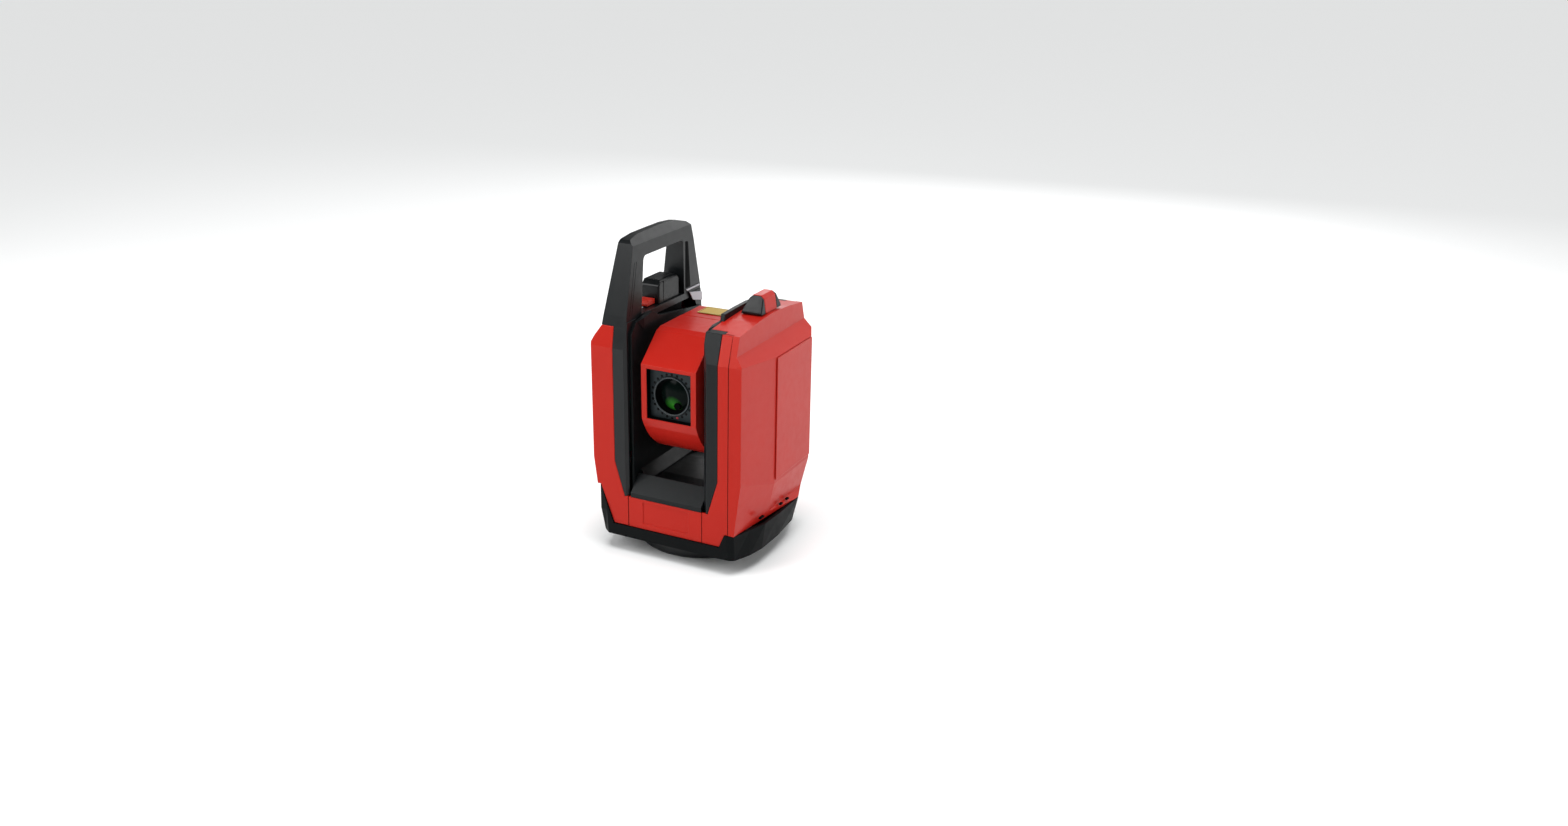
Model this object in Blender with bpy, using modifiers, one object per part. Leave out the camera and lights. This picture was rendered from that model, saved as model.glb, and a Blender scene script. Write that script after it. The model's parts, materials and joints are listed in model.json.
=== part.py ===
"""Robotic layout instrument: a two-yoke laser station that turns on a round base.

All sizes are in metres.  X runs to the right of the instrument, Y away from its
window side and Z up.  The origin is the centre of the base disc's underside, on
the vertical turning axis.  The optical head tilts about the X direction.
"""
import bmesh
import bpy
from math import atan2, cos, hypot, pi, sin
from mathutils import Matrix, Vector

# ---------------------------------------------------------------- driving sizes
GAP = 0.0003              # gap kept between neighbouring pieces
RUN = 0.0015              # gap kept round pieces that turn
WALL = 0.0030             # wall of the moulded shells

HALF_DEPTH = 0.0920       # front and rear faces of the yokes
SIDE_X = 0.1036           # flat side wall of a yoke
CREASE_X = 0.0980         # upright crease between front face and side facet
SIDE_FRONT_Y = -0.0160    # where the side facet meets the flat side wall
SIDE_REAR_Y = 0.0800      # where the flat side wall ends at the rear
SHOULDER_Z = 0.2470       # the side wall turns inward here
LEAN_Z = 0.2530           # the front face starts to lean back here
TAPER_Z = 0.0910          # the side wall tapers inward below this height
TAPER_X = 0.0985          # side of the yoke at the bottom of the taper
RIM_Z = 0.0570            # top of the flared rim below the taper
RIM_X = 0.1050            # side of the flared rim
CROWN_Z = 0.2935          # highest point of the right yoke
CROWN_EDGE_Z = 0.2865     # front end of the right yoke's top
CROWN_EDGE_Y = 0.0810
UPPER_X = 0.0900          # upright wall above the shoulder of the right yoke
UPPER_Z = 0.2650          # foot of that wall
LEFT_TOP_Z = 0.2780       # top of the left yoke, where the handle frame sits
LEFT_TOP_X = 0.0845

TILT_Z = 0.2030           # height of the tilt axis
HEAD_HALF_W = 0.0360
HEAD_R = 0.0890           # round underside of the head
HEAD_FRONT_Y = 0.0830     # flat front of the head, from the tilt axis
HEAD_SPLIT_Y = 0.0120     # joint between the head's front and rear shells
WINDOW_HALF_W = 0.0290
WINDOW_HALF_H = 0.0303
WINDOW_Z = TILT_Z - 0.0012
WINDOW_DEPTH = 0.0085     # how far the window plate lies behind the front
OPTIC_Z = TILT_Z - 0.0025 # height of the objective's axis
LENS_R = 0.0212
LENS_RING_WALL = 0.0026
TUBE_R = LENS_R + GAP         # the lens tube ends where the lens ring starts

COVER_X = 0.0475          # inner face of the black inner covers
COVER_T = 0.0030
LEG_IN_X = 0.0540         # front face of a black leg, inner edge
LEG_OUT_X = 0.0682        # front face of a black leg, outer edge
LEG_KINK_Z = 0.1140       # the leg narrows below this height
LEG_FOOT_X = 0.0555
LEG_FOOT_Z = 0.0720
STRIP_OUT_X = 0.0817      # outer edge of the right front strip
STRIP_T = 0.0035
FLANGE_END_X = 0.0710     # black caps on the front and rear of the right yoke's top
FLANGE_Y = 0.0720
RIDGE_X = 0.0530          # black ridge along the inner edge of the right yoke's top
RIDGE_Y = (-0.0480, 0.0540)
RIDGE_TOP_Z = 0.2990
PAD_X = 0.0445            # raised pads on the inner cheeks, beside the head
PAD_Y = 0.0600
PAD_Z = (0.1160, 0.2710)
PAD_SLOPE = 0.0120        # width of the slope round a pad
SEAM_RIGHT_X = 0.0480     # seam at the right of the front centre panel

LEDGE_Z = 0.0776          # front edge of the sloping ledge
LEDGE_TOP_Z = 0.0960
LEDGE_TOP_Y = 0.0730
TROUGH_Z = 0.0800
TROUGH_CROWN_Z = 0.0860
RAMP_Z = 0.1000           # ramps along both sides of the trough
RAMP_W = 0.0090

BASE_R = 0.0790
BASE_H = 0.0180
HUB_R = 0.0220
HUB_TOP_Z = 0.0400
HUB_BORE_R = 0.0120
THREAD_BORE_R = 0.0080
YAW_BEARING_OUT_R = 0.0337
YAW_BEARING_Z = (0.0265, 0.0360)
STATOR_R = (0.0460, 0.0590)
ROTOR_R = (0.0605, 0.0665)
MOTOR_Z = (0.0215, 0.0285)

BOOT_Z = 0.0200
BOOT_TOP_Z = 0.0500
BOOT_LEFT_Z = 0.0800
BOOT_WALL = 0.0040
NOTCH_Z = 0.0337          # top of the boot across the front
NOTCH_X = 0.0710
NOTCH_RIGHT_X = 0.0780    # the boot has stepped up to its full height here
NOTCH_LEFT_X = 0.0887

CHASSIS_Z = (0.0295, 0.0440)
CHASSIS_TOP_Z = TILT_Z + 0.0250
CHASSIS_IN_X = 0.0590
CHASSIS_T = 0.0080
CHASSIS_HALF_Y = 0.0420
AXLE_R = 0.0080
AXLE_END_X = 0.0760
TRUNNION_R = 0.0165

HANDLE_IN_X = -0.0520
HANDLE_OUT_X = -0.0845    # outer face of the handle at its foot
HANDLE_TOP_OUT_X = -0.0710
HANDLE_TOP_Z = 0.3782
GRIP_BOTTOM_Z = 0.3535
DECK_Z = 0.2862           # floor of the hand opening

BATTERY_X = (-0.0790, -0.0550)
BATTERY_Y = (-0.0080, 0.0400)
BATTERY_Z = (0.2430, 0.3140)
BATTERY_PLAY = 0.0008
WELL_WALL = 0.0020

ANTENNA_Y = (-0.0190, 0.0310)
ANTENNA_X = (0.0590, 0.0860)
ANTENNA_TOP_X = (0.0665, 0.0825)
ANTENNA_Z = (0.2938, 0.3145)
SADDLE_Y = (-0.0080, 0.0200)
SADDLE_T = 0.0020

SIDE_COVER_T = 0.0014
SIDE_COVER_Z = (0.0960, 0.2460)
BUTTON_R = 0.0070
SCREW_R = 0.0030

SEGMENTS = 48             # sides of a large round piece
SMALL_SEGMENTS = 24

# ---------------------------------------------------------------- scene set-up
for old in list(bpy.data.objects):
    bpy.data.objects.remove(old, do_unlink=True)

PARTS = bpy.data.collections.new("layout_instrument")
CUTTERS = bpy.data.collections.new("cutters")
for collection in (PARTS, CUTTERS):
    bpy.context.scene.collection.children.link(collection)


def material(name, colour, roughness, metallic=0.0):
    """Principled material with one colour."""
    mat = bpy.data.materials.new(name)
    mat.use_nodes = True
    shader = mat.node_tree.nodes["Principled BSDF"]
    shader.inputs["Base Color"].default_value = (*colour, 1.0)
    shader.inputs["Roughness"].default_value = roughness
    shader.inputs["Metallic"].default_value = metallic
    return mat


RED = material("red_plastic", (0.56, 0.03, 0.025), 0.45)
BLACK = material("black_plastic", (0.03, 0.035, 0.038), 0.5)
RUBBER = material("black_rubber", (0.015, 0.016, 0.017), 0.8)
STEEL = material("bearing_steel", (0.55, 0.56, 0.58), 0.25, 1.0)
ALUMINIUM = material("cast_aluminium", (0.6, 0.61, 0.62), 0.4, 1.0)
BRASS = material("brass", (0.7, 0.52, 0.24), 0.3, 1.0)
COPPER = material("copper_winding", (0.72, 0.36, 0.2), 0.4, 1.0)
GLASS = material("coated_glass", (0.01, 0.05, 0.03), 0.05)
BOARD = material("circuit_board", (0.02, 0.16, 0.06), 0.5)
GREY = material("grey_plastic", (0.45, 0.45, 0.48), 0.4)
YELLOW = material("label_yellow", (0.6, 0.5, 0.15), 0.5)


def axis_empty(name, place, parent=None):
    """Empty on a joint's axis, which the moving pieces hang on."""
    empty = bpy.data.objects.new(name, None)
    PARTS.objects.link(empty)
    empty.location = place
    if parent is not None:
        hang(empty, parent)
    return empty


def hang(obj, parent):
    """Parent obj without moving it; all parents are unturned empties."""
    place = Vector(parent.location)
    obj.parent = parent
    obj.matrix_parent_inverse = Matrix.Translation(-place)


# ---------------------------------------------------------------- shape helpers
def link(name, mesh, mat, parent):
    """Object for a mesh: a part when it has a material, or else a cutter."""
    obj = bpy.data.objects.new(name, mesh)
    if mat is None:
        CUTTERS.objects.link(obj)
        obj.hide_render = True
        obj.display_type = "WIRE"
        return obj
    PARTS.objects.link(obj)
    mesh.materials.append(mat)
    if parent is not None:
        hang(obj, parent)
    return obj


AXIS_TURN = {
    "z": Matrix.Identity(4),
    "x": Matrix(((0, 0, 1, 0), (1, 0, 0, 0), (0, 1, 0, 0), (0, 0, 0, 1))),
    "y": Matrix(((1, 0, 0, 0), (0, 0, -1, 0), (0, 1, 0, 0), (0, 0, 0, 1))),
}


def prism_mesh(name, outline, low, high, axis):
    """Flat outline extruded along an axis, from low to high.

    Outline points are (x, y) for axis z, (y, z) for axis x and (x, z) for axis y.
    """
    curve = bpy.data.curves.new(name, "CURVE")
    curve.dimensions = "2D"
    curve.fill_mode = "BOTH"
    curve.extrude = (high - low) / 2
    spline = curve.splines.new("POLY")
    spline.points.add(len(outline) - 1)
    for point, (u, v) in zip(spline.points, outline):
        point.co = (u, v, 0.0, 1.0)
    spline.use_cyclic_u = True
    holder = bpy.data.objects.new(name, curve)
    bpy.context.scene.collection.objects.link(holder)
    graph = bpy.context.evaluated_depsgraph_get()
    mesh = bpy.data.meshes.new_from_object(holder.evaluated_get(graph))
    bpy.data.objects.remove(holder, do_unlink=True)
    bpy.data.curves.remove(curve)
    middle = (low + high) / 2
    offset = -middle if axis == "y" else middle
    mesh.transform(AXIS_TURN[axis] @ Matrix.Translation((0, 0, offset)))
    mesh.name = name
    mesh.materials.clear()
    edit = bmesh.new()
    edit.from_mesh(mesh)
    bmesh.ops.remove_doubles(edit, verts=edit.verts, dist=1e-6)
    bmesh.ops.dissolve_limit(edit, angle_limit=0.001, verts=edit.verts, edges=edit.edges)
    bmesh.ops.recalc_face_normals(edit, faces=edit.faces)
    edit.to_mesh(mesh)
    edit.free()
    return mesh


def prism(name, outline, low, high, axis, mat=None, parent=None):
    """Object of a flat outline extruded along an axis."""
    return link(name, prism_mesh(name, outline, low, high, axis), mat, parent)


def box(name, low, high, mat=None, parent=None):
    """Box between two corners."""
    edit = bmesh.new()
    bmesh.ops.create_cube(edit, size=1.0)
    size = [b - a for a, b in zip(low, high)]
    middle = [(a + b) / 2 for a, b in zip(low, high)]
    bmesh.ops.scale(edit, vec=size, verts=edit.verts)
    bmesh.ops.translate(edit, vec=middle, verts=edit.verts)
    mesh = bpy.data.meshes.new(name)
    edit.to_mesh(mesh)
    edit.free()
    return link(name, mesh, mat, parent)


def turned(name, profile, mat=None, parent=None, centre=(0, 0, 0), axis="z",
           sides=SEGMENTS):
    """Turned piece: (radius, height) points, down the outer side first."""
    mesh = bpy.data.meshes.new(name)
    points = [(radius, 0.0, height) for radius, height in profile]
    on_axis = profile[0][0] == 0.0 and profile[-1][0] == 0.0
    edges = [(i, i + 1) for i in range(len(points) - 1)]
    if not on_axis:
        edges.append((len(points) - 1, 0))
    mesh.from_pydata(points, edges, [])
    obj = link(name, mesh, mat, None)
    obj.matrix_world = Matrix.Translation(centre) @ AXIS_TURN[axis]
    screw = obj.modifiers.new("turn", "SCREW")
    screw.axis = "Z"
    screw.steps = sides
    screw.render_steps = sides
    screw.use_merge_vertices = True
    screw.merge_threshold = 0.00001
    screw.use_smooth_shade = True
    if parent is not None:
        hang(obj, parent)
    return obj


def ring(name, inner, outer, low, high, mat, parent, centre=(0, 0, 0), axis="z",
         sides=SEGMENTS):
    """Plain ring along an axis."""
    profile = [(inner, high), (outer, high), (outer, low), (inner, low)]
    return turned(name, profile, mat, parent, centre, axis, sides)


def rod(name, radius, low, high, mat=None, parent=None, centre=(0, 0, 0), axis="z",
        sides=SMALL_SEGMENTS):
    """Plain round bar along an axis."""
    profile = [(0.0, high), (radius, high), (radius, low), (0.0, low)]
    return turned(name, profile, mat, parent, centre, axis, sides)


def boolean(obj, other, operation, solver="EXACT"):
    """Add one Boolean step with a cutter object."""
    step = obj.modifiers.new(operation.lower(), "BOOLEAN")
    step.operation = operation
    step.object = other
    step.solver = solver


def cut(obj, *others):
    """Take each cutter out of obj."""
    for other in others:
        boolean(obj, other, "DIFFERENCE")


def inset(outline, distance):
    """Outline moved inward by a distance; points run anticlockwise."""
    count = len(outline)
    moved = []
    for i in range(count):
        before, here, after = outline[i - 1], outline[i], outline[(i + 1) % count]
        ax, ay = here[0] - before[0], here[1] - before[1]
        bx, by = after[0] - here[0], after[1] - here[1]
        la, lb = hypot(ax, ay), hypot(bx, by)
        na = (-ay / la, ax / la)
        nb = (-by / lb, bx / lb)
        scale = distance / (1 + na[0] * nb[0] + na[1] * nb[1])
        moved.append((here[0] + scale * (na[0] + nb[0]), here[1] + scale * (na[1] + nb[1])))
    return moved


def mirrored(outline):
    """Outline with its first coordinate turned round, still anticlockwise."""
    return [(-u, v) for u, v in reversed(outline)]


def trim(mesh, point, normal):
    """Cut away what lies on the normal's side of a plane, and close the cut."""
    edit = bmesh.new()
    edit.from_mesh(mesh)
    geometry = list(edit.verts) + list(edit.edges) + list(edit.faces)
    result = bmesh.ops.bisect_plane(edit, geom=geometry, plane_co=point, plane_no=normal,
                                    dist=1e-7, clear_outer=True)
    loop = [item for item in result["geom_cut"] if isinstance(item, bmesh.types.BMEdge)]
    if loop:
        bmesh.ops.edgeloop_fill(edit, edges=loop)
    bmesh.ops.recalc_face_normals(edit, faces=edit.faces)
    edit.to_mesh(mesh)
    edit.free()


def plane_through(a, b, c, outside):
    """Point and unit normal of the plane through three points, facing outside."""
    a, b, c = Vector(a), Vector(b), Vector(c)
    normal = (b - a).cross(c - a).normalized()
    if normal.dot(Vector(outside) - a) < 0:
        normal = -normal
    return a, normal


def arc(centre, radius, start, end, steps):
    """Points of an arc, both ends included."""
    turn = (end - start) / steps
    return [(centre[0] + radius * cos(start + i * turn),
             centre[1] + radius * sin(start + i * turn)) for i in range(steps + 1)]


def flip_x(mesh):
    """Turn a right-hand mesh into its left-hand twin."""
    mesh.transform(Matrix.Diagonal((-1, 1, 1, 1)))
    mesh.flip_normals()


# ---------------------------------------------------------------- joint axes
yaw_axis = axis_empty("yaw_axis", (0, 0, 0))
tilt_axis = axis_empty("tilt_axis", (0, 0, TILT_Z), yaw_axis)
battery_axis = axis_empty("battery_axis", (sum(BATTERY_X) / 2, sum(BATTERY_Y) / 2, DECK_Z), yaw_axis)
release_axis = axis_empty("release_axis", (sum(BATTERY_X) / 2, BATTERY_Y[0], DECK_Z), yaw_axis)
BUTTON_Z = 0.0540
power_axis = axis_empty("power_axis", (0, HALF_DEPTH, BUTTON_Z), yaw_axis)
TILT_CENTRE = (0, 0, TILT_Z)


# ---------------------------------------------------------------- fixed base
def build_base():
    """Round base disc with its hub, tripod thread, motor stator and encoder disc."""
    chamfer = 0.0035
    profile = [(HUB_BORE_R, HUB_TOP_Z), (HUB_R, HUB_TOP_Z), (HUB_R, BASE_H),
               (BASE_R - chamfer, BASE_H), (BASE_R, BASE_H - chamfer),
               (BASE_R, chamfer), (BASE_R - chamfer, 0.0), (HUB_BORE_R, 0.0)]
    turned("base_disc", profile, BLACK, sides=64)
    ring("thread_insert", THREAD_BORE_R, HUB_BORE_R - GAP, 0.0010, 0.0220, BRASS, None,
         sides=SMALL_SEGMENTS)
    middle = (HUB_R + YAW_BEARING_OUT_R) / 2
    ring("yaw_bearing_inner", HUB_R + GAP, middle - 0.0012, *YAW_BEARING_Z, STEEL, None,
         sides=32)
    ring("yaw_stator", *STATOR_R, BASE_H + GAP, MOTOR_Z[1], COPPER, None, sides=32)
    ring("yaw_encoder_disc", HUB_BORE_R, YAW_BEARING_OUT_R - 0.0040, HUB_TOP_Z + GAP,
         HUB_TOP_Z + 0.0018, GLASS, None, sides=32)


def build_turning_core():
    """Outer bearing ring, rotor, cast chassis and the boards on it."""
    middle = (HUB_R + YAW_BEARING_OUT_R) / 2
    ring("yaw_bearing_outer", middle + 0.0012, YAW_BEARING_OUT_R, *YAW_BEARING_Z, STEEL,
         yaw_axis, sides=32)
    ring("yaw_rotor", *ROTOR_R, *MOTOR_Z, STEEL, yaw_axis, sides=32)

    out = CHASSIS_IN_X + CHASSIS_T
    inner = CHASSIS_IN_X
    low, floor = CHASSIS_Z
    outline = [(-out, low), (out, low), (out, CHASSIS_TOP_Z), (inner, CHASSIS_TOP_Z),
               (inner, floor), (-inner, floor), (-inner, CHASSIS_TOP_Z), (-out, CHASSIS_TOP_Z)]
    chassis = prism("chassis", outline, -CHASSIS_HALF_Y, CHASSIS_HALF_Y, "y", ALUMINIUM,
                    yaw_axis)
    hole = rod("chassis_yaw_bore", YAW_BEARING_OUT_R + GAP, 0.0, 0.06, sides=32)
    bore = rod("chassis_tilt_bore", TRUNNION_R + GAP, -0.1, 0.1, centre=TILT_CENTRE, axis="x")
    cut(chassis, hole, bore)

    reader_x = YAW_BEARING_OUT_R - 0.0120
    box("yaw_encoder_reader", (reader_x, -0.0080, floor + GAP),
        (inner - 0.0040, 0.0080, floor + 0.0070), BOARD, yaw_axis)
    box("main_board", (out + 0.0130, -0.0400, 0.1050), (out + 0.0146, 0.0400, 0.1700),
        BOARD, yaw_axis)
    box("power_board", (-out - 0.0146, -0.0400, 0.1050), (-out - 0.0130, 0.0400, 0.1700),
        BOARD, yaw_axis)
    box("processor_board", (-COVER_X + 0.0050, -0.0550, 0.0600),
        (COVER_X - 0.0050, 0.0550, 0.0616), BOARD, yaw_axis)
    for side, name in ((-1, "left"), (1, "right")):
        low_x, high_x = sorted((side * (inner + GAP), side * (out - GAP)))
        ring(f"trunnion_bearing_{name}", AXLE_R + GAP, TRUNNION_R, low_x, high_x, STEEL,
             yaw_axis, TILT_CENTRE, "x", SMALL_SEGMENTS)
    start = out + GAP
    ring("tilt_stator", 0.0270, 0.0340, start, start + 0.0100, COPPER, yaw_axis,
         TILT_CENTRE, "x", 32)
    box("tilt_encoder_reader", (-start - 0.0020, -0.0070, TILT_Z + 0.0175),
        (-start, 0.0070, TILT_Z + 0.0245), BOARD, yaw_axis)


# ---------------------------------------------------------------- boot
def boot_plan(level):
    """Right half of the boot's plan outline at a height, front to rear."""
    front = HALF_DEPTH + 0.0020
    if level == "low":
        return [(0.0840, -front), (0.0905, -0.0905), (0.0990, -0.0690), (0.1035, -0.0470),
                (0.1040, -0.0040), (0.1000, 0.0440), (0.0840, 0.0885), (0.0740, front)]
    if level == "low_left":
        return [(0.0780, -front), (0.0870, -0.0865), (0.0935, -0.0690), (0.0985, -0.0470),
                (0.1000, -0.0040), (0.0975, 0.0440), (0.0820, 0.0885), (0.0720, front)]
    return [(0.0800, -front), (0.0895, -0.0915), (0.0970, -0.0650), (0.1048, -0.0400),
            (0.1063, -0.0040), (0.1058, 0.0480), (0.0890, 0.0885), (0.0780, front)]


def loft(name, sections, mat=None, parent=None):
    """Closed loft through plan outlines of equal length at rising heights."""
    edit = bmesh.new()
    rows = []
    for height, outline in sections:
        rows.append([edit.verts.new((x, y, height)) for x, y in outline])
    count = len(rows[0])
    for lower, upper in zip(rows, rows[1:]):
        for i in range(count):
            after = (i + 1) % count
            edit.faces.new((lower[i], lower[after], upper[after], upper[i]))
    edit.faces.new(list(reversed(rows[0])))
    edit.faces.new(rows[-1])
    bmesh.ops.recalc_face_normals(edit, faces=edit.faces)
    mesh = bpy.data.meshes.new(name)
    edit.to_mesh(mesh)
    edit.free()
    return link(name, mesh, mat, parent)


def whole_plan(half, left_half=None):
    """Full outline from its right half, and its left half if that differs."""
    return half + [(-x, y) for x, y in reversed(left_half or half)]


def build_boot():
    """Black bumper round the foot of the housing, higher along the left side."""
    low = whole_plan(boot_plan("low"), boot_plan("low_left"))
    high = whole_plan(boot_plan("high"))
    boot = loft("lower_bumper", [(BOOT_Z, low), (BOOT_TOP_Z, high), (BOOT_LEFT_Z, high)],
                RUBBER, yaw_axis)
    floor_z = BOOT_Z + BOOT_WALL
    hollow = loft("boot_hollow", [(floor_z, inset(low, BOOT_WALL)),
                                  (BOOT_TOP_Z, inset(high, BOOT_WALL)),
                                  (BOOT_LEFT_Z + 0.02, inset(high, BOOT_WALL))])
    bore = rod("boot_bore", BASE_R - 0.0050, 0.0, 0.06, sides=SEGMENTS)
    far = 0.2
    step = [(-NOTCH_LEFT_X, BOOT_LEFT_Z + GAP), (-NOTCH_X, NOTCH_Z), (NOTCH_X, NOTCH_Z),
            (NOTCH_RIGHT_X, BOOT_TOP_Z), (far, BOOT_TOP_Z), (far, far),
            (-NOTCH_LEFT_X, far)]
    notch = prism("boot_notch", step, -far, far, "y")
    cut(boot, hollow, bore, notch)


# ---------------------------------------------------------------- yokes
def right_side_outline():
    """Right yoke seen from the side: (y, z), anticlockwise."""
    half = [(HALF_DEPTH, LEAN_Z), (CROWN_EDGE_Y, CROWN_EDGE_Z), (0.0390, CROWN_Z - 0.0020),
            (0.0, CROWN_Z)]
    bottom = [(-HALF_DEPTH, NOTCH_Z), (HALF_DEPTH, NOTCH_Z)]
    return bottom + half + [(-y, z) for y, z in reversed(half[:-1])]


def left_lean_y(height):
    """Front face of the left yoke and the handle's foot at a height."""
    return HALF_DEPTH - (height - LEAN_Z) * 0.0060 / 0.0370


def left_side_outline():
    """Left yoke seen from the side: (y, z), anticlockwise."""
    top_y = left_lean_y(LEFT_TOP_Z)
    return [(-HALF_DEPTH, NOTCH_Z), (HALF_DEPTH, NOTCH_Z), (HALF_DEPTH, LEAN_Z),
            (top_y, LEFT_TOP_Z), (-top_y, LEFT_TOP_Z), (-HALF_DEPTH, LEAN_Z)]


def side_planes(depth):
    """Facets of a right-hand yoke's outer side, moved inward by depth."""
    corner = (SIDE_X, SIDE_FRONT_Y, TAPER_Z)
    rear = (SIDE_X, SIDE_REAR_Y, TAPER_Z)
    outside = (1, 0, 0)
    planes = [
        plane_through((CREASE_X, -HALF_DEPTH, 0), (CREASE_X, -HALF_DEPTH, 1), corner, outside),
        plane_through((CREASE_X, HALF_DEPTH, 0), (CREASE_X, HALF_DEPTH, 1), rear, outside),
        plane_through((CREASE_X, -HALF_DEPTH, TAPER_Z + 0.024),
                      (boot_plan("high")[1][0], -HALF_DEPTH, BOOT_TOP_Z),
                      corner, outside),
        plane_through((*boot_plan("high")[5], BOOT_TOP_Z), (*boot_plan("high")[6], BOOT_TOP_Z),
                      rear, outside),
    ]
    return [(point - normal * depth, normal) for point, normal in planes]


def yoke_mesh(name, front_outline, side_outline, depth):
    """Right-hand yoke block: front outline, side outline and side facets."""
    mesh = prism_mesh(name, front_outline, -0.12, 0.12, "y")
    count = len(side_outline)
    for i in range(count):
        (y0, z0), (y1, z1) = side_outline[i], side_outline[(i + 1) % count]
        normal = Vector((0, z1 - z0, y0 - y1)).normalized()
        trim(mesh, Vector((0, y0, z0)), normal)
    for point, normal in side_planes(depth):
        trim(mesh, point, normal)
    return mesh


def right_front_outline():
    """Right yoke seen from the front: (x, z), anticlockwise."""
    inner = COVER_X + COVER_T + GAP
    top = CROWN_Z + 0.01
    return [(inner, BOOT_TOP_Z + GAP), (RIM_X, BOOT_TOP_Z + GAP), (TAPER_X, RIM_Z),
            (SIDE_X, TAPER_Z), (SIDE_X, SHOULDER_Z), (UPPER_X, UPPER_Z), (UPPER_X, top),
            (inner, top)]


def left_front_outline():
    """Left yoke as its right-hand twin: (x, z), anticlockwise."""
    inner = COVER_X + COVER_T + GAP
    foot = NOTCH_Z + GAP
    kink = BOOT_LEFT_Z + 2 * GAP
    return [(inner, foot), (NOTCH_X, foot), (NOTCH_LEFT_X, kink), (SIDE_X - 0.0015, kink),
            (SIDE_X, TAPER_Z), (SIDE_X, SHOULDER_Z), (0.0937, UPPER_Z),
            (LEFT_TOP_X, LEFT_TOP_Z), (inner, LEFT_TOP_Z)]


def leg_outline(grow):
    """Front view of a right-hand black leg, grown by a gap: (x, z)."""
    return [(0.0, LEG_FOOT_Z - grow), (LEG_FOOT_X + grow, LEG_FOOT_Z - grow),
            (LEG_OUT_X + grow, LEG_KINK_Z - grow), (LEG_OUT_X + grow, 0.4), (0.0, 0.4)]


def build_right_yoke():
    """Right red shell, its front strip, side cover and black inner cover."""
    outline = right_front_outline()
    side = right_side_outline()
    shell = link("right_yoke_shell", yoke_mesh("right_yoke_shell", outline, side, 0.0), RED,
                 yaw_axis)
    floor_z = BOOT_TOP_Z - 0.02
    void_outline = ([(0.0, floor_z), (TAPER_X - WALL, floor_z)] + inset(outline, WALL)[2:7]
                    + [(0.0, CROWN_Z + 0.01 - WALL)])
    void = link("right_yoke_void",
                yoke_mesh("right_yoke_void", void_outline, inset(side, WALL), WALL), None, None)
    spaces = []
    depth = STRIP_T + GAP
    slope = (HALF_DEPTH - CROWN_EDGE_Y) / (CROWN_EDGE_Z - LEAN_Z)
    knee_z = LEAN_Z - depth * (hypot(1, slope) - 1) / slope
    top = CROWN_EDGE_Z + GAP
    for end, label in ((-1, "front"), (1, "rear")):
        near = end * (HALF_DEPTH - depth)
        edge = near - end * (top - knee_z) * slope
        far = end * 0.2
        spaces.append(prism(f"right_{label}_strip_space",
                            [(far, 0.0), (near, 0.0), (near, knee_z), (edge, top), (far, top)],
                            0.0, STRIP_OUT_X + GAP, "x"))
        low_y, high_y = sorted((end * (FLANGE_Y - GAP), far))
        spaces.append(box(f"right_{label}_flange_space", (0.0, low_y, 0.27),
                          (FLANGE_END_X + GAP, high_y, 0.31)))
        strip(f"right_{label}_strip", end)
    spaces.append(box("right_ridge_space", (0.0, RIDGE_Y[0] - GAP, 0.27),
                      (RIDGE_X + GAP, RIDGE_Y[1] + GAP, 0.31)))
    cut(shell, void, *spaces)
    right_cover(side)
    side_cover("right_side_cover", 1)


def sheet_profile(thickness, end):
    """Side view of a sheet on the right yoke's leaning front or rear: (y, z)."""
    top_z = CROWN_EDGE_Z - GAP
    lean = (HALF_DEPTH - CROWN_EDGE_Y) / (CROWN_EDGE_Z - LEAN_Z)
    outer = HALF_DEPTH
    outer_top = HALF_DEPTH - (top_z - LEAN_Z) * lean
    points = [(outer, NOTCH_Z + GAP), (outer - thickness, NOTCH_Z + GAP),
              (outer - thickness, LEAN_Z), (outer_top - thickness, top_z), (outer_top, top_z),
              (outer, LEAN_Z)]
    return [(end * y, z) for y, z in points]


def strip(name, end):
    """Red strip on the right yoke's front or rear, between black leg and shell."""
    body = prism(name, sheet_profile(STRIP_T, end), SEAM_RIGHT_X + GAP, STRIP_OUT_X, "x", RED,
                 yaw_axis)
    leg = prism(f"{name}_leg_space", leg_outline(GAP), -0.2, 0.2, "y")
    far = 0.2
    step = prism(f"{name}_boot_space",
                 [(NOTCH_X - GAP, 0.0), (far, 0.0), (far, BOOT_TOP_Z + GAP),
                  (NOTCH_RIGHT_X - GAP, BOOT_TOP_Z + GAP), (NOTCH_X - GAP, NOTCH_Z + GAP)],
                 -far, far, "y")
    cut(body, leg, step)


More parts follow.
